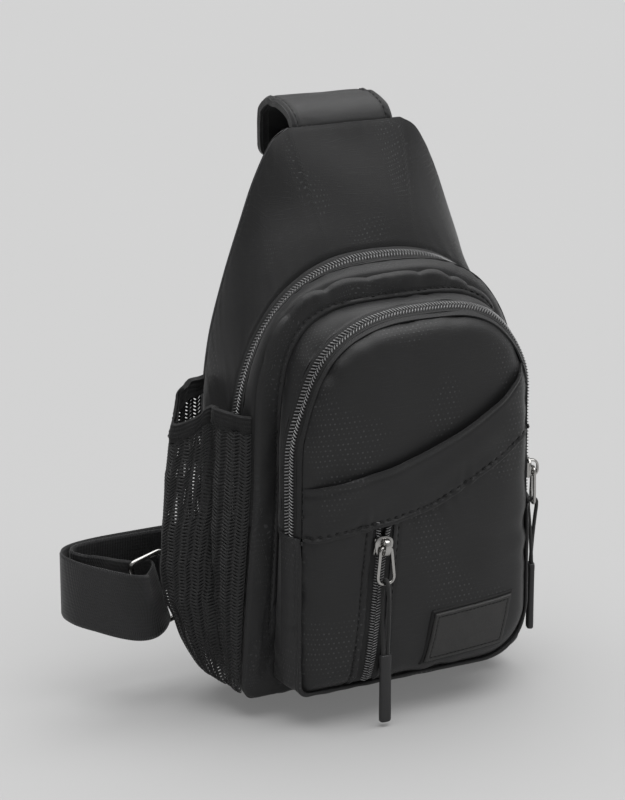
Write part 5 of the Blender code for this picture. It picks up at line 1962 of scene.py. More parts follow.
@dataclass
class ArchedZip:
    """A zip that runs over an arch: two tapes and the teeth between them."""

    name: str
    shape: BagShape
    shop: Workshop
    outline: Callable[[float], Arch]
    middle: float
    tapes: tuple
    columns: int = 520
    dip: float = 0.35
    painted_shade_half: float = 4.4
    tooth_points: int = 900
    feel: float = 3.0

    def build(self) -> None:
        """Make both tapes, the dark strip of painted shade and the teeth."""
        front, rear = self.tapes
        for word, start, end in (("front", front, self.middle - SEAM_GAP / 2),
                                 ("rear", self.middle + SEAM_GAP / 2, rear)):
            depths = np.linspace(start, end, 12)
            surface = arched_band(self.outline, depths, self.shape.zip_end, self.columns)
            outer = np.abs(depths - (start if word == "front" else end))[:, None]
            relief = 0.25 * np.exp(-outer / 2.0) - self.dip + 0.12 * ripple(surface, 18, 141)
            self.shop.cloth(f"{self.name}_tape_{word}_cloth", surface, 1.0, Cloth.ZIP_TAPE,
                            [f"{self.name}_tape_{word}"], relief, grain=Grain.ALONG)
        self.painted_shade_strip()
        self.teeth()

    def painted_shade_strip(self) -> None:
        """Make a dark strip under the teeth, wider than them: the cord they are wound on, with painted
        shade in their gaps and a painted shadow line beside each row.
        """
        depths = np.linspace(self.middle - self.painted_shade_half, self.middle + self.painted_shade_half, 9)
        surface = arched_band(self.outline, depths, self.shape.zip_end, self.columns)
        relief = np.full(surface.shape[:2], 0.25 - self.dip)
        self.shop.cloth(f"{self.name}_bed", surface, 0.3, Cloth.THREAD_AND_PAINTED_SHADE, relief=relief, grain=Grain.ALONG)

    def teeth(self) -> None:
        """Make the teeth along the middle of the arch."""
        depths = self.middle + np.array([-self.feel, 0, self.feel])
        ahead, path, behind = arched_band(self.outline, depths, self.shape.zip_end, self.tooth_points)
        across = unit(behind - ahead)
        run = unit(np.gradient(path, axis=0))
        out = unit(np.cross(across, run))
        if np.sum(out * (path - self.shape.middle)) < 0:
            out = -out
        teeth = CoilTeeth().beads(path - out * self.dip, across, out, np.zeros(len(path)))
        self.shop.solid(f"{self.name}_teeth", [teeth], Cloth.COIL_WITH_PAINTED_GLINTS, [f"{self.name}_coil"])


@dataclass
class PocketZip:
    """The leaning zip of the front pocket, closed below its slider and parted above it."""

    shape: BagShape
    shop: Workshop
    foot: float = 14.0
    tape: float = 7.4
    parted: float = 2.4
    sunk: float = 0.5
    stop_place: tuple = (3.4, -0.2, 1.4)
    stop_size: tuple = (2.4, 1.0)

    def build(self) -> None:
        """Make both tapes, the teeth and the top stops."""
        shape = self.shape
        top = float(shape.stitch_height(shape.pocket_zip_x)) + 2.0
        z = np.linspace(self.foot, top, 160)
        above = np.clip((z - shape.pocket_slider_z) / (top - shape.pocket_slider_z), 0, 1)
        part = self.parted * above**0.8
        for word, side in (("left", -1), ("right", 1)):
            across = np.linspace(SEAM_GAP / 2, self.tape, 10)[None, :] * side
            x = shape.pocket_zip_middle(z)[:, None] + across + side * part[:, None]
            surface = shape.on_front(x, z[:, None], shape.layer - self.sunk)
            self.shop.cloth(f"pocket_zip_tape_{word}_cloth", surface, 1.0, Cloth.ZIP_TAPE,
                            [f"pocket_zip_tape_{word}"], 0.1 * ripple(surface, 14, 151), outwards=FORWARDS,
                            grain=Grain.ALONG)
        line = shape.on_front(shape.pocket_zip_middle(z), z, shape.layer - self.sunk)
        across, out = (np.broadcast_to(way, line.shape) for way in (SIDEWAYS, FORWARDS))
        teeth = CoilTeeth(pitch=1.6, wire=0.68).beads(line, across, out, part)
        self.shop.solid("pocket_zip_teeth", [teeth], Cloth.COIL_WITH_PAINTED_GLINTS, ["pocket_zip_coil"])
        self.stop(top)

    def stop(self, top: float) -> None:
        """Make the top stops: two metal crimps, one at the end of each row of teeth.

        Args:
            top: height of the stops.
        """
        shape = self.shape
        middle = shape.on_front(shape.pocket_zip_middle(top), np.array(top), shape.layer - self.sunk)
        x, y, z = self.stop_place
        section = round_section(*self.stop_size, 4, 12)
        lines = [middle + np.array([[side * x, y, -z], [side * x, y, z]]) for side in (-1, 1)]
        made = [tube(line, SIDEWAYS, section) for line in lines]
        self.shop.solid("pocket_zip_top_stops", made, Cloth.NICKEL, ["pocket_zip_stop"], sharp=35)


# Sliders and pulls

@dataclass
class ZipPull:
    """A slider body, the wire ring in its bridge, a looped cord and a moulded tab.

    The plate is given as (share of its outline, height), the bridge as (up, out) and the tab as (share
    of its length, share of its section).
    """

    zip_name: str
    body: str
    shop: Workshop
    middle: Grid
    across: Grid
    up: Grid
    cord_drop: float
    width: float = 11.4
    length: float = 12.2
    plate: tuple = ((0.86, 0.1), (0.98, 0.35), (1.0, 0.8), (0.97, 1.35), (0.86, 1.75))
    lip: tuple = (1.1, 1.9)
    bridge: tuple = ((4.5, 1.2), (4.3, 3.9), (3.0, 5.6), (0.6, 6.2), (-2.2, 5.9), (-4.0, 4.4), (-4.5, 1.2))
    bridge_size: tuple = (3.6, 1.4)
    pivot_out: float = 3.75
    ring_length: float = 21.0
    ring_top: float = 6.6
    ring_foot: float = 11.0
    ring_rounds: tuple = (2.6, 2.6, 4.6, 4.6)
    wire: float = 1.9
    cord: float = 2.2
    cord_apart: float = 2.8
    tab_length: float = 40.0
    tab_width: float = 7.0
    tab_thick: float = 4.0
    tab_shape: tuple = ((0, 0.72), (0.004, 0.9), (0.02, 0.98), (0.05, 1.0), (0.09, 1.0), (0.12, 0.97),
                        (0.3, 0.96), (0.6, 0.97), (0.9, 1.0), (0.965, 0.99), (0.99, 0.94), (1.0, 0.8))
    out: Grid = field(init=False)
    level: Grid = field(init=False)
    down: Grid = field(init=False)

    def __post_init__(self) -> None:
        """Work out the directions that follow from the zip's own."""
        self.across, self.up = unit(np.asarray(self.across, float)), unit(np.asarray(self.up, float))
        self.out = unit(np.cross(self.across, self.up))
        self.down = -UPWARDS
        self.level = unit(np.cross(self.out, self.down))

    @property
    def pivot(self) -> Grid:
        """The middle of the ring's top bar, in the slider's bridge."""
        return self.middle + self.out * self.pivot_out

    @property
    def foot(self) -> Grid:
        """The middle of the ring's lower bar."""
        return self.pivot + self.down * self.ring_length

    def build(self) -> None:
        """Make the slider, ring, cord and tab."""
        self.slider()
        self.ring()
        self.tab()
        self.pull_cord()

    def stacked(self, outline: Grid, layers: Sequence[tuple]) -> tuple:
        """Return a closed body of outlines stacked outwards from the zip.

        Args:
            outline: closed (across, up) outline with an even number of points.
            layers: pairs of share of the outline's size and height.

        Returns:
            Points and faces.
        """
        flat = self.across * outline[:, :1] + self.up * outline[:, 1:]
        rows = [self.middle + flat * share + self.out * height for share, height in layers]
        return np.vstack(rows), tube_quads(len(rows), len(outline))

    def slider(self) -> None:
        """Make the slider: a rounded plate, wider at its head, two side lips and a bridge."""
        outline = round_section(self.width, self.length, 2.4, 40)
        outline[:, 0] *= 1 + 0.14 * outline[:, 1] / (self.length / 2)
        parts = [self.stacked(outline, self.plate)]
        for side in (-1, 1):
            lip = self.middle + self.across * side * self.width * 0.44 - self.out * 0.4
            line = lip + self.up * (np.linspace(-0.36, 0.36, 8) * self.length)[:, None]
            parts.append(tube(line, self.across, round_section(*self.lip, 3, 10)))
        bow = smooth_line(self.bridge, 6)
        line = self.middle + self.up * bow[:, :1] + self.out * bow[:, 1:]
        parts.append(tube(line, self.across, round_section(*self.bridge_size, 3, 14)))
        self.shop.solid(f"{self.zip_name}_slider_body", parts, Cloth.NICKEL, [f"{self.zip_name}_slider"],
                        f"{self.body}_slider", sharp=40)

    def ring(self) -> None:
        """Make the wire ring, narrow in the bridge and wider at the cord."""
        top, foot = self.level * self.ring_top / 2, self.level * self.ring_foot / 2
        corners = np.array([self.pivot - top, self.pivot + top, self.foot + foot, self.foot - foot])
        line = rounded_loop(corners, np.array(self.ring_rounds), 72)
        section = round_section(self.wire, self.wire, 2.3, 14)
        item = self.shop.sweep(f"{self.zip_name}_ring_wire", line, self.out, section, Cloth.NICKEL,
                               loop=True)
        self.shop.seat(item, Cloth.NICKEL, [f"{self.zip_name}_pull_ring"], f"{self.body}_ring")

    def cord_route(self) -> Grid:
        """Return the cord's line: up from the tab, over the ring's lower bar and back down.

        Returns:
            The line's points.
        """
        bend = (self.wire + self.cord) / 2 + SEAM_GAP
        apart, drop = self.cord_apart / 2, self.cord_drop
        strand = [(drop + 4, 0.0, apart * 0.9), (drop - 0.3, 0.0, apart),
                  (drop * 0.6, bend * 0.35, apart * 1.05), (drop * 0.25, bend * 0.8, apart * 0.8),
                  (drop * 0.08, bend * 1.02, apart * 0.3), (0.0, bend, 0.0)]
        turn = np.linspace(0, np.pi, 9)[1:-1]
        over = [(-bend * np.sin(t), bend * np.cos(t), 0.0) for t in turn]
        route = np.array(strand + over + [(fall, -lean, -side) for fall, lean, side in strand[::-1]])
        line = self.foot + self.down * route[:, :1] + self.out * route[:, 1:2] + self.level * route[:, 2:]
        return even_steps(smooth_line(line, 6), 90)

    def pull_cord(self) -> None:
        line = self.shop.space.metres(self.cord_route())
        name = f"{self.zip_name}_cord"
        data = bpy.data.curves.new(name, "CURVE")
        data.dimensions = "3D"
        data.bevel_depth = self.cord / 2 * MM
        data.bevel_resolution = 3
        data.use_fill_caps = True
        spline = data.splines.new("POLY")
        spline.points.add(len(line) - 1)
        spline.points.foreach_set("co", np.column_stack([line, np.ones(len(line))]).ravel())
        data.materials.append(self.shop.materials[Cloth.PULL_CORD])
        item = linked(name, data)
        self.shop.seat(item, Cloth.PULL_CORD, [f"{self.zip_name}_pull_cord"], f"{self.body}_pull")

    def tab(self) -> None:
        """Make the moulded tab: a rounded bar, slightly waisted, with softened ends."""
        share, wide = np.array(self.tab_shape).T
        line = self.foot + self.down * (self.cord_drop + share[:, None] * self.tab_length)
        section = round_section(self.tab_width, self.tab_thick, 3.2, 28)
        item = self.shop.sweep(f"{self.zip_name}_tab", line, self.level, section, Cloth.PULL_RUBBER,
                               scale=wide, sharp=60)
        self.shop.seat(item, Cloth.PULL_RUBBER, [f"{self.zip_name}_pull_tab"], f"{self.body}_pull")


# Mesh side pocket

@dataclass
class MeshPocket:
    """The bulging net pocket on the left wall and the elastic round its mouth."""

    shape: BagShape
    shop: Workshop
    foot: float = 4.0
    inset: float = 1.5
    bulge: float = 7.0
    front_lobe: float = 6.0
    rear_lobe: float = 26.0
    crease: float = 0.42
    mouth_shares: tuple = (0, 0.1, 0.25, 0.42, 0.5, 0.66, 0.78, 0.88, 1)
    mouth_heights: tuple = (165.5, 167.5, 169, 168.5, 162, 157, 165, 174, 177.5)
    elastic: float = 11.0
    elastic_thick: float = 2.4
    hole_pitch: float = 3.6
    hole_rise: float = 2.1
    hole_half: tuple = (0.4, 0.2)
    hole_slant: float = 1.0
    yarn: float = 0.5

    def build(self) -> None:
        """Make the net and its binding."""
        self.net()
        self.binding()

    def mouth(self, share: Grid) -> Grid:
        """Return the mouth's height at shares from the front seam to the rear seam."""
        return np.interp(share, *smooth_line(np.stack([self.mouth_shares, self.mouth_heights], axis=1)).T)

    def wall(self, y: Grid, z: Grid) -> Grid:
        """Return the half width that clears the bag's side wall at depth y and height z.

        Args:
            y: depths.
            z: heights.

        Returns:
            Half widths.
        """
        shape = self.shape
        outline = shape.main_arch(shape.main_wall_y)
        panel = outline.half_at(z)
        behind = np.where(z > outline.spring, shape.main_half, np.maximum(panel, shape.back_half(z)))
        share = np.clip((y - shape.main_wall_y) / (shape.main_zip_y - shape.main_wall_y), 0, 1)
        return panel + (behind - panel) * share

    def stand(self, share: Grid, rise: Grid) -> Grid:
        """Return how far the pocket stands off the wall: one bow and two lobes either side of a crease.

        Args:
            share: shares from front to back.
            rise: shares from foot to mouth.

        Returns:
            Millimetres off the wall.
        """
        crease = self.crease * (0.55 + 0.45 * np.clip(rise, 0, 1))
        front = np.sin(np.pi * np.clip(share / crease, 0, 1)) ** 0.7
        rear = np.sin(np.pi * np.clip((share - crease) / (1 - crease), 0, 1)) ** 0.8
        fill = np.sqrt(np.clip(rise / 0.4, 0.02, 1)) * (1 - 0.3 * np.clip(rise, 0, 1) ** 4)
        bow = self.bulge * np.sin(np.pi * share)
        return 0.5 + fill * (bow + self.front_lobe * front + self.rear_lobe * rear)

    def point(self, share: Grid, z: Grid, proud: object) -> Grid:
        """Return points of the pocket's outer face at a share across it and a height.

        Args:
            share: shares from front to back.
            z: heights.
            proud: millimetres outwards.

        Returns:
            The points.
        """
        share, z = np.broadcast_arrays(share, z)
        rise = (z - self.foot) / (self.mouth(share) - self.foot)
        slack = 0.7 * ripple(np.stack([share * 90, z / 3], axis=-1), 16, 161)
        slack = (slack + 0.5 * ripple(np.stack([share * 90, z], axis=-1), 26, 163)) * np.sin(np.pi * share)
        front, rear = self.shape.main_wall_y + self.inset, self.shape.back_y - self.inset
        y = front + (rear - front) * share
        proud = proud * (0.15 + 0.85 * eased(np.minimum(share, 1 - share), 0, 0.05))
        slack = slack.clip(-1.2, 1.2) * np.clip(rise * 6, 0, 1)
        return self.shape.slumped(xyz(-self.wall(y, z) - self.stand(share, rise) - proud - slack, y, z))

    def net(self) -> None:
        """Make the net: a sheet with a slanted hole in every cell of a grid, given the yarn's thickness.

        Cells are laid out by length along the cloth. Each is a ring of eight quads between its hole
        and its edge, and the corners that neighbours share are merged. Every row runs up over one
        column and down over the next, so the yarns stand in a herringbone.
        """
        spread = np.linspace(0, 1, 400)
        guide = self.point(spread, np.full(400, 90.0), 1.0)
        length = run_length(guide)
        across = int(length[-1] / self.hole_pitch)
        up = int((np.max(self.mouth_heights) - self.foot - self.elastic) / self.hole_rise)
        row, column = np.meshgrid(np.arange(up), np.arange(-1, across + 1), indexing="ij")
        side = np.array([[-1, -1], [0, -1], [1, -1], [1, 0]]) / 2
        edge = np.vstack([side, -side])
        ring = np.stack([edge, unit(edge) * np.array(self.hole_half)])
        u = (column[..., None, None] + 0.5 + ring[..., 0]).clip(0, across)
        v = row[..., None, None] + 0.5 + ring[..., 1]
        yarn_rise = 0.35 * np.cos(2 * np.pi * v)
        v = (v + self.hole_slant * (np.abs(u % 2 - 1) - 0.5)).clip(0, up)
        share = np.interp(u / across * length[-1], length, spread)
        low, high = self.foot, self.mouth(share) - self.elastic + 1.0
        z = low + (high - low) * v / up
        points = self.point(share, z, 1.1 + yarn_rise).reshape(-1, 3)
        one = grid_quads(2, len(edge), True)
        points, faces = joined(points, repeated(one, row.size, 2 * len(edge)))
        item = self.shop.mesh("mesh_pocket_net", points, faces[:, ::-1], Cloth.NETTING)
        yarn = item.modifiers.new("yarn", "SOLIDIFY")
        yarn.thickness = self.yarn * MM
        yarn.offset = 0.0
        self.shop.seat(item, Cloth.NETTING, ["mesh_pocket"])

    def binding(self) -> None:
        """Make the elastic binding, gathered by the net that it holds."""
        share = np.linspace(0, 1, 320)[None, :]
        up = np.linspace(0, 1, 26)[:, None]
        z = self.mouth(share) - self.elastic * (1 - up)
        surface = self.point(share, z, self.elastic_thick)
        along = arc_lengths(surface, 1)
        edge = np.minimum(up, 1 - up) * self.elastic
        relief = -0.9 * bell(edge, 0.9) - 0.3 * bell(up * self.elastic, 0.7, 2.0)
        relief = relief + 0.2 * np.cos(9 * np.pi * up)
        relief = relief + 0.5 * ripple(np.stack(np.broadcast_arrays(along, up * 4), axis=-1), 9, 171)
        self.shop.cloth("mesh_pocket_binding", surface, self.elastic_thick, Cloth.ELASTIC,
                        ["mesh_pocket_elastic"], relief, outwards=(-1, 0, 0), grain=Grain.ALONG)
        line = self.point(share[0], self.mouth(share[0]) - self.elastic + 2.0, self.elastic_thick)
        self.shop.stitch("binding_stitches", "mesh_pocket_binding", [line], Stitching(2.8, 2.1))


def joined(points: Grid, faces: Grid) -> tuple:
    """Return a mesh with points that lie together merged, and faces that lost a corner left out.

    Args:
        points: the mesh's points.
        faces: its faces.

    Returns:
        The fewer points and faces.
    """
    _, first, number = np.unique(np.round(points, 3), axis=0, return_index=True, return_inverse=True)
    faces = number.ravel()[faces]
    ordered = np.sort(faces, axis=1)
    whole = np.all(np.diff(ordered, axis=1) > 0, axis=1)
    return points[first], faces[whole]


# Strap

@dataclass
class TopStrap:
    """The padded strap sewn into the top seam and folded over behind the bag."""

    shape: BagShape
    shop: Workshop
    width: float = 64.0
    thick: float = 4.0
    fold_radius: float = 14.0
    fold_y: float = 126.0
    fold_z: float = 308.0
    drop: float = 22.0
    sewn_in: float = 4.7
    corner: float = 9.0
    stitch_in: float = 4.0
    rows: int = 170
    columns: int = 90

    def line(self) -> Grid:
        """Return the strap's middle line from its root over the fold to its hanging end.

        Returns:
            The line's points.
        """
        top = self.shape.back_heights[-1]
        root_y = self.shape.back_y + 4.0
        crest = self.fold_z + self.fold_radius
        turn = np.linspace(np.pi / 2, 0, 9)
        bend = self.fold_radius * np.stack([np.cos(turn), np.sin(turn)], axis=1)
        fold = np.array([self.fold_y, self.fold_z]) + bend
        start = [[root_y, top - self.sewn_in], [root_y, top],
                 [root_y * 0.8 + self.fold_y * 0.2, top * 0.4 + crest * 0.6],
                 [root_y * 0.4 + self.fold_y * 0.6, top * 0.05 + crest * 0.95]]
        end = [[fold[-1, 0], self.fold_z - self.drop * share] for share in (0.4, 0.75, 1.0)]
        return even_steps(smooth_line(np.vstack([start, fold, end])), self.rows)

    def build(self) -> None:
        """Make the strap and the stitching along its edges."""
        line = self.line()
        middle = xyz(0, line[:, 0], line[:, 1])
        run = unit(np.gradient(middle, axis=0))
        out = np.cross(SIDEWAYS, run)
        length = run_length(middle)
        left = np.clip((length[-1] - length) / self.corner, 0, 1)
        half = self.width / 2 - self.corner * (1 - np.sqrt(1 - (1 - left) ** 2))
        x = half[:, None] * close_ended(self.columns)
        surface = middle[:, None] + SIDEWAYS * x[..., None] + out[:, None] * (self.thick / 2)
        inset = half[:, None] - np.abs(x)
        seam = np.minimum(inset, (length[-1] - length)[:, None])
        relief = -1.1 * bell(seam, 1.3) - 0.7 * bell(seam, 1.0, self.stitch_in)
        relief += 0.35 * bell(seam, 1.0, 2.2)
        place = np.stack(np.broadcast_arrays(x, length[:, None]), axis=-1)
        relief += 0.5 * seam_puckers(place[..., 1], inset, 8, 6, 181) + 0.3 * ripple(place, 26, 183)
        strap = self.shop.cloth("top_strap_pad", surface, self.thick * 0.85, nodes=["top_strap"],
                                relief=relief, outwards=surface - [0, self.fold_y, self.fold_z - 8])
        aside = SIDEWAYS * (half - self.stitch_in)[:, None]
        lines = [(middle + aside * side + out * self.thick / 2)[10:-22] for side in (-1, 1)]
        self.shop.stitch("strap_stitches", "top_strap_pad", lines, Stitching())


@dataclass
class StrapWebbing:
    """The webbing behind the bag, its tail, the wire ring in its tab and the adjuster."""

    shape: BagShape
    shop: Workshop
    width: float = 38.0
    thick: float = 1.5
    run_y: float = 120.2
    run_z: float = 62.0
    strap_face: float = 138.0
    ring_x: float = -120.0
    ring_y: float = 99.0
    ring_z: float = 51.0
    ring_tilt: float = 16.0
    ring_inside: float = 40.0
    ring_short: float = 21.0
    ring_wire: float = 3.0
    adjuster_x: float = -77.5
    adjuster_span: float = 30.0
    adjuster_bar: float = 5.0
    adjuster_thick: float = 2.4
    adjuster_rail: float = 2.6
    bar_shape: tuple = ((0, 0.8), (0.02, 0.94), (0.06, 1), (0.94, 1), (0.98, 0.94), (1.0, 0.8))

    @property
    def bar_rear(self) -> float:
        """The depth of the adjuster's middle bar at its rear, before two layers of webbing."""
        return self.run_y - self.thick * 1.5 - 3 * SEAM_GAP

    @property
    def long_way(self) -> Grid:
        """The direction of the tilted ring's long side."""
        turn = np.radians(self.ring_tilt)
        return np.array([-np.sin(turn), 0, np.cos(turn)])

    @property
    def short_way(self) -> Grid:
        """The direction of the tilted ring's short side, towards the bag."""
        turn = np.radians(self.ring_tilt)
        return np.array([np.cos(turn), 0, np.sin(turn)])

    @property
    def ring_bar(self) -> Grid:
        """The middle of the ring's bar in the tab."""
        return np.array([self.ring_x, self.ring_y, self.ring_z]) + self.short_way * self.ring_short / 2

    @property
    def section(self) -> Grid:
        """The webbing's section: flat with rounded selvedges."""
        return strip_section(self.width, self.thick, 18, 1.0)

    def build(self) -> None:
        """Make every piece of the strap behind the bag."""
        end = self.webbing()
        self.tail(end)
        self.wire_ring()
        self.ring_tab()
        self.adjuster()

    def route(self) -> tuple:
        """Return the webbing's middle line and the direction of its width.

        It comes down from the strap, turns flat behind the bag, runs left, doubles back, folds round
        the ring and returns inside the bend to its tail.

        Returns:
            The line's points and the widths' directions.
        """
        head = self.strap_face - 0.8 - self.thick / 2
        y, z, ring = self.run_y, self.run_z, self.ring_x
        level, flat, tilt = (0, 0, 1), (0, 1, 0), tuple(self.long_way)
        route = [
            ((0, head, 302.5), (1, 0, 0)), ((0, head, 286), (1, 0, 0)), ((2, head - 2, 250), (1, 0.15, 0)),
            ((9, y + 11, 215), (0.85, 0.5, 0)), ((22, y + 8, 180), (0.4, 0.9, 0)), ((33, y + 7, 148), flat),
            ((36, y + 7, 116), flat), ((26, y + 7, z + 26), flat), ((6, y + 6, z + 8), (0, 0.95, 0.3)),
            ((-14, y + 3, z + 1), (0, 0.6, 0.8)), ((-38, y, z), level), ((-48, y, z), level),
            ((-60, y, z), level), ((-90, y, z), level), ((ring, y, z), level),
            ((ring - 30, y - 1, z), level), ((ring - 48, y - 6, z), level),
            ((ring - 55.5, y - 17, z), level), ((ring - 51, y - 29.5, z - 2), level),
            ((ring - 38, y - 38, z - 6), (-0.08, 0, 1)), ((ring - 23, y - 41, z - 11), (-0.2, 0, 1)),
            ((ring - 10, y - 37.5, z - 13.8), tilt), ((ring - 1, y - 30, z - 11.3), tilt),
            ((ring + 2.4, y - 22, z - 10.3), tilt), ((ring - 1.5, y - 15.5, z - 11.4), tilt),
            ((ring - 11, y - 14, z - 13.5), tilt), ((ring - 26, y - 17, z - 9), (-0.15, 0, 1)),
            ((ring - 38, y - 19.5, z - 4), level), ((ring - 46, y - 18.2, z - 1), level),
            ((ring - 48.3, y - 12.7, z), level), ((ring - 43, y - 7, z), level),
            ((ring - 30, y - 4.5, z), level),
        ]
        return smooth_line([spot for spot, _ in route], 9), smooth_line([width for _, width in route], 9)

    def webbing(self) -> Grid:
        """Make the long run of webbing and return its last point.

        Returns:
            Where the tail begins.
        """
        line, across = self.route()
        item = self.shop.sweep("strap_webbing", line, across, self.section, Cloth.WEBBING, sharp=80)
        self.shop.seat(item, Cloth.WEBBING, ["webbing"])
        return line[-1]

    def tail(self, start: Grid) -> None:
        """Make the tail that loops round the adjuster's middle bar.

        Args:
            start: where the long run ends.
        """
        middle = self.bar_rear - self.adjuster_thick / 2
        radius = self.adjuster_thick / 2 + SEAM_GAP + self.thick / 2
        near = self.adjuster_x - self.adjuster_span / 2 - SEAM_GAP
        far = self.adjuster_x + self.adjuster_bar / 2 + SEAM_GAP
        turn = np.linspace(-np.pi / 2, np.pi / 2, 13)
        loop = np.stack([far + radius * np.cos(turn), middle + radius * np.sin(turn)], axis=1)
        run = [(start[0] + SEAM_GAP, start[1]), ((start[0] + near) / 2, middle), (near, middle - radius)]
        flat = np.vstack([smooth_line(run, 10), loop, [(near, middle + radius)]])
        line = even_steps(xyz(flat[:, 0], flat[:, 1], self.run_z), 120)
        item = self.shop.sweep("strap_tail", line, UPWARDS, self.section, Cloth.WEBBING, sharp=80)
        ends = self.shop.space.metres(xyz(np.array([start[0], near]), middle, self.run_z))
        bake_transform(item)
        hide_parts("webbing_tail")
        self.shop.report(item, "bag and adjuster")

    def wire_ring(self) -> None:
        """Make the tilted wire ring that joins the webbing to its tab."""
        reach = (self.ring_inside + self.ring_wire) / 2
        bar, far = self.ring_bar, self.ring_bar - self.short_way * self.ring_short
        way = self.long_way
        corners = np.array([bar + way * reach, bar - way * reach, far - way * reach, far + way * reach])
        line = rounded_loop(corners, self.ring_wire * 1.2, 120)
        section = round_section(self.ring_wire, self.ring_wire, 2, 16)
        item = self.shop.sweep("strap_wire_ring", line, BACKWARDS, section, Cloth.NICKEL, loop=True)
        self.shop.seat(item, Cloth.NICKEL, ["strap_ring"], "strap_ring")

    def ring_tab(self) -> None:
        """Make the short loop of webbing that holds the ring in the bag's side seam."""
        bar, short = self.ring_bar, self.short_way
        lift = (self.ring_wire + self.thick) / 2 + SEAM_GAP
        turn = np.linspace(-np.pi / 2, -3 * np.pi / 2, 13)[:, None]
        wrap = bar + lift * (short * np.cos(turn) + BACKWARDS * np.sin(turn))
        root_x = -float(self.shape.back_half(np.array(self.ring_z))) - SEAM_GAP
        root = bar + short * (root_x - bar[0]) / short[0]
        root[1] = self.shape.back_y + 4.0
        middle = (root + bar) / 2
        deep, near = BACKWARDS * self.thick, BACKWARDS * lift * 0.9
        line = np.array([root - deep, middle - near, *wrap, middle + near, root + deep])
        across = np.array([UPWARDS] + [self.long_way] * (len(line) - 2) + [UPWARDS])
        item = self.shop.sweep("ring_tab_webbing", smooth_line(line, 5), smooth_line(across, 5),
                               self.section, Cloth.WEBBING, sharp=80)
        self.shop.seat(item, Cloth.WEBBING, ["ring_tab"])

    def adjuster(self) -> None:
        """Make the adjuster: two rails, two outer bars behind the webbing and a middle bar before it."""
        bar_front = self.bar_rear - self.adjuster_thick
        outer_front = self.run_y + self.thick / 2 + SEAM_GAP
        half = self.adjuster_span / 2
        inside = self.width / 2 + 1.2
        rail_z = inside + self.adjuster_rail / 2
        deep = outer_front + self.adjuster_thick - bar_front
        rail_y = (outer_front + self.adjuster_thick + bar_front) / 2
        out_y = outer_front + self.adjuster_thick / 2
        bars = []
        for side in (-1, 1):
            rail = xyz(self.adjuster_x + np.array([-half, half]), rail_y, self.run_z + side * rail_z)
            bars.append(self.bar(rail, BACKWARDS, deep, self.adjuster_rail))
        for x, y in ((self.adjuster_bar / 2 - half, out_y), (half - self.adjuster_bar / 2, out_y),
                     (0, bar_front + self.adjuster_thick / 2)):
            post = xyz(self.adjuster_x + x, y, self.run_z + np.array([-inside, inside]))
            bars.append(self.bar(post, SIDEWAYS, self.adjuster_bar, self.adjuster_thick))
        self.shop.solid("strap_adjuster_frame", bars, Cloth.ADJUSTER, ["strap_adjuster"], "adjuster",
                        sharp=40)

    def bar(self, ends: Grid, across: Grid, width: float, height: float) -> tuple:
        """Return a rounded bar between two points as points and faces.

        Args:
            ends: its two ends.
            across: direction of its width.
            width: full width.
            height: full height.

        Returns:
            Points and faces.
        """
        share, size = np.array(self.bar_shape).T
        line = ends[0] + (ends[1] - ends[0]) * share[:, None]
        return tube(line, across, round_section(width, height, 5, 24), size)


# Studio

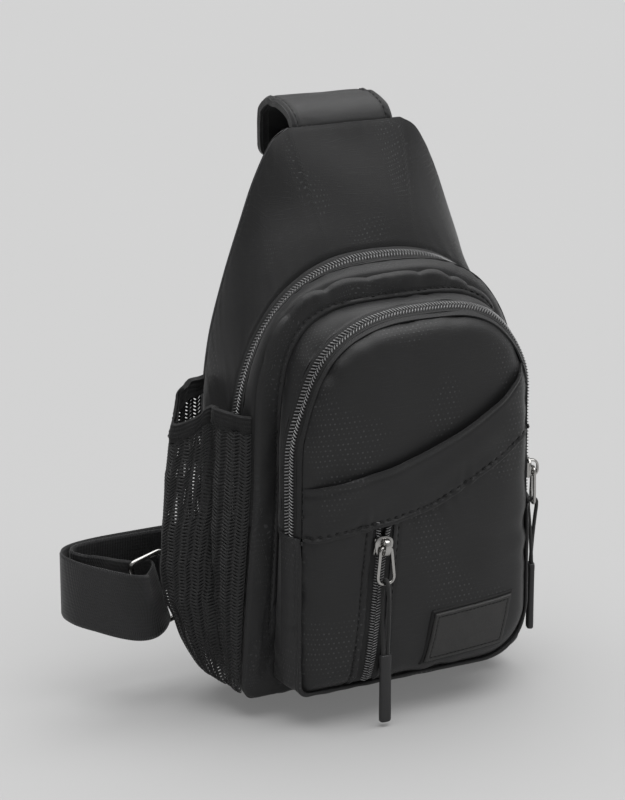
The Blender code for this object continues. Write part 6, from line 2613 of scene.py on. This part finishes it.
@dataclass
class Studio:
    """The pale floor, the soft lights, the world and the camera."""

    camera_place: tuple = (-0.7197, -1.34632, 0.27545)
    camera_way: tuple = (0.44991, 0.84615, -0.28569)
    lens: float = 121.2
    sensor: float = 36.0
    clip: tuple = (0.05, 100.0)
    floor_size: float = 80.0
    floor_gap: float = 0.003
    floor_grey: float = 0.458
    floor_glow: float = 0.22
    floor_shown: float = 0.62
    world_light: float = 0.28
    world_lean: float = 0.18
    world_way: tuple = (0.85, -0.2, 0.5)
    sky_power: float = 3.5
    sky_spread: float = 80.0
    sky_place: tuple = (0.12, 0.06, 1.0)

    def build(self) -> None:
        """Make the floor, lights, world and camera."""
        low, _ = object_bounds()
        self.floor(low.z - self.floor_gap)
        self.sky_light()
        self.world()
        self.camera()

    def floor(self, height: float) -> None:
        """Make the pale floor just under the lowest piece.

        Args:
            height: its level.
        """
        data = bpy.data.meshes.new("pale_floor")
        half = self.floor_size / 2
        corners = ((-half, -half), (half, -half), (half, half), (-half, half))
        data.from_pydata([(x, y, height) for x, y in corners], [], [(0, 1, 2, 3)])
        item = linked("pale_floor", data)
        shade = Shade("floor_paper")
        grain = shade.noise(shade.solid_place(), 3.0)
        grey = (self.floor_grey,) * 3
        shade.set(Base_Color=shade.grey(grain, scaled(grey, 0.995), scaled(grey, 1.005)), Roughness=1.0,
                  Specular_IOR_Level=0.0)
        self.backdrop_glow(shade)
        data.materials.append(shade.material)
        item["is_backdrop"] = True

    def backdrop_glow(self, shade: Shade) -> None:
        """Let seen floor and its mirror images glow a little, so its shadows stay soft and light.

        Args:
            shade: the floor's material.
        """
        tree = shade.material.node_tree
        path = shade.node("ShaderNodeLightPath")
        glow = shade.node("ShaderNodeEmission")
        glow.inputs["Color"].default_value = (self.floor_shown,) * 3 + (1.0,)
        mirrored = shade.math("MAXIMUM", path.outputs["Is Glossy Ray"], path.outputs["Is Transmission Ray"])
        seen = shade.math("MAXIMUM", path.outputs["Is Camera Ray"], mirrored)
        mixed = shade.node("ShaderNodeMixShader")
        shade.feed(mixed.inputs[0], shade.times(seen, self.floor_glow))
        output = next(node for node in tree.nodes if node.type == "OUTPUT_MATERIAL")
        paper = output.inputs["Surface"].links[0].from_socket
        tree.links.new(paper, mixed.inputs[1])
        tree.links.new(glow.outputs[0], mixed.inputs[2])
        tree.links.new(mixed.outputs[0], output.inputs["Surface"])

    def sky_light(self) -> None:
        """Add the wide overhead light, even over the whole floor."""
        data = bpy.data.lights.new("overhead_light", "SUN")
        data.energy = self.sky_power
        data.angle = np.radians(self.sky_spread)
        self.aim(linked("overhead_light", data), -Vector(self.sky_place))

    def aim(self, item: Item, way: Vector) -> None:
        """Turn a light or a camera to look along a direction."""
        item.rotation_mode = "QUATERNION"
        item.rotation_quaternion = way.to_track_quat("-Z", "Y")

    def world(self) -> None:
        """Set a soft white world, brighter to the right of the bag than to the left."""
        world = bpy.data.worlds.new("studio_air")
        world.use_nodes = True
        nodes, links = world.node_tree.nodes, world.node_tree.links
        way = nodes.new("ShaderNodeTexCoord")
        facing = nodes.new("ShaderNodeVectorMath")
        facing.operation = "DOT_PRODUCT"
        facing.inputs[1].default_value = unit(np.array(self.world_way))
        level = nodes.new("ShaderNodeMapRange")
        level.inputs["From Min"].default_value = -1.0
        level.inputs["To Min"].default_value = self.world_light - self.world_lean
        level.inputs["To Max"].default_value = self.world_light + self.world_lean
        links.new(way.outputs["Generated"], facing.inputs[0])
        links.new(facing.outputs["Value"], level.inputs["Value"])
        ground = nodes["Background"]
        ground.inputs["Color"].default_value = (1.0, 1.0, 1.0, 1.0)
        links.new(level.outputs["Result"], ground.inputs["Strength"])
        bpy.context.scene.world = world

    def camera(self) -> None:
        """Set the camera where the photograph was taken from."""
        data = bpy.data.cameras.new("photo_camera")
        data.lens = self.lens
        data.sensor_width = self.sensor
        data.clip_start, data.clip_end = self.clip
        item = linked("photo_camera", data)
        item.location = self.camera_place
        self.aim(item, Vector(self.camera_way))
        bpy.context.scene.camera = item


def zip_pulls(shape: BagShape, shop: Workshop) -> list:
    """Return the pulls of the main, front and pocket zips at their sliders.

    Args:
        shape: the bag's sizes.
        shop: the workshop.

    Returns:
        The three pulls.
    """
    proud, side_cord, pocket_cord = 1.0, 37.0, 42.0
    pulls = []
    z = shape.side_slider_z
    for name, outline, y in (("main", shape.main_arch, shape.main_zip_y),
                             ("front", shape.front_arch, shape.front_zip_y)):
        near, far = (outline(y + step).side_half(z) for step in (-shape.coil / 2, shape.coil / 2))
        middle = np.array([(near + far) / 2 + proud, y, z])
        across = (far - near, shape.coil, 0)
        pulls.append(ZipPull(f"{name}_zip", name, shop, middle, across, UPWARDS, side_cord))
    z, lean = shape.pocket_slider_z, shape.pocket_zip_lean
    x = float(shape.pocket_zip_middle(z))
    middle = shape.on_front(np.array(x), np.array(z), shape.layer) + FORWARDS * proud
    pulls.append(ZipPull("pocket_zip", "pocket", shop, middle, (1, 0, lean), (-lean, 0, 1), pocket_cord))
    return pulls


def main() -> None:
    """Build the bag's pieces in order, then the studio."""
    logging.basicConfig(level=logging.INFO, format="%(name)s %(message)s")
    bpy.context.scene.view_settings.view_transform = "Standard"
    shape = BagShape()
    shop = Workshop(BagSpace.from_frame(shape.main_face_y))
    MainCompartment(shape, shop).build()
    FrontCompartment(shape, shop).build()
    ArchedZip("main_zip", shape, shop, shape.main_arch, shape.main_zip_y, shape.main_tapes).build()
    ArchedZip("front_zip", shape, shop, shape.front_arch, shape.front_zip_y, shape.front_tapes).build()
    PocketZip(shape, shop).build()
    for pull in zip_pulls(shape, shop):
        pull.build()
    MeshPocket(shape, shop).build()
    TopStrap(shape, shop).build()
    StrapWebbing(shape, shop).build()
    Studio().build()


if __name__ == "__main__":
    main()
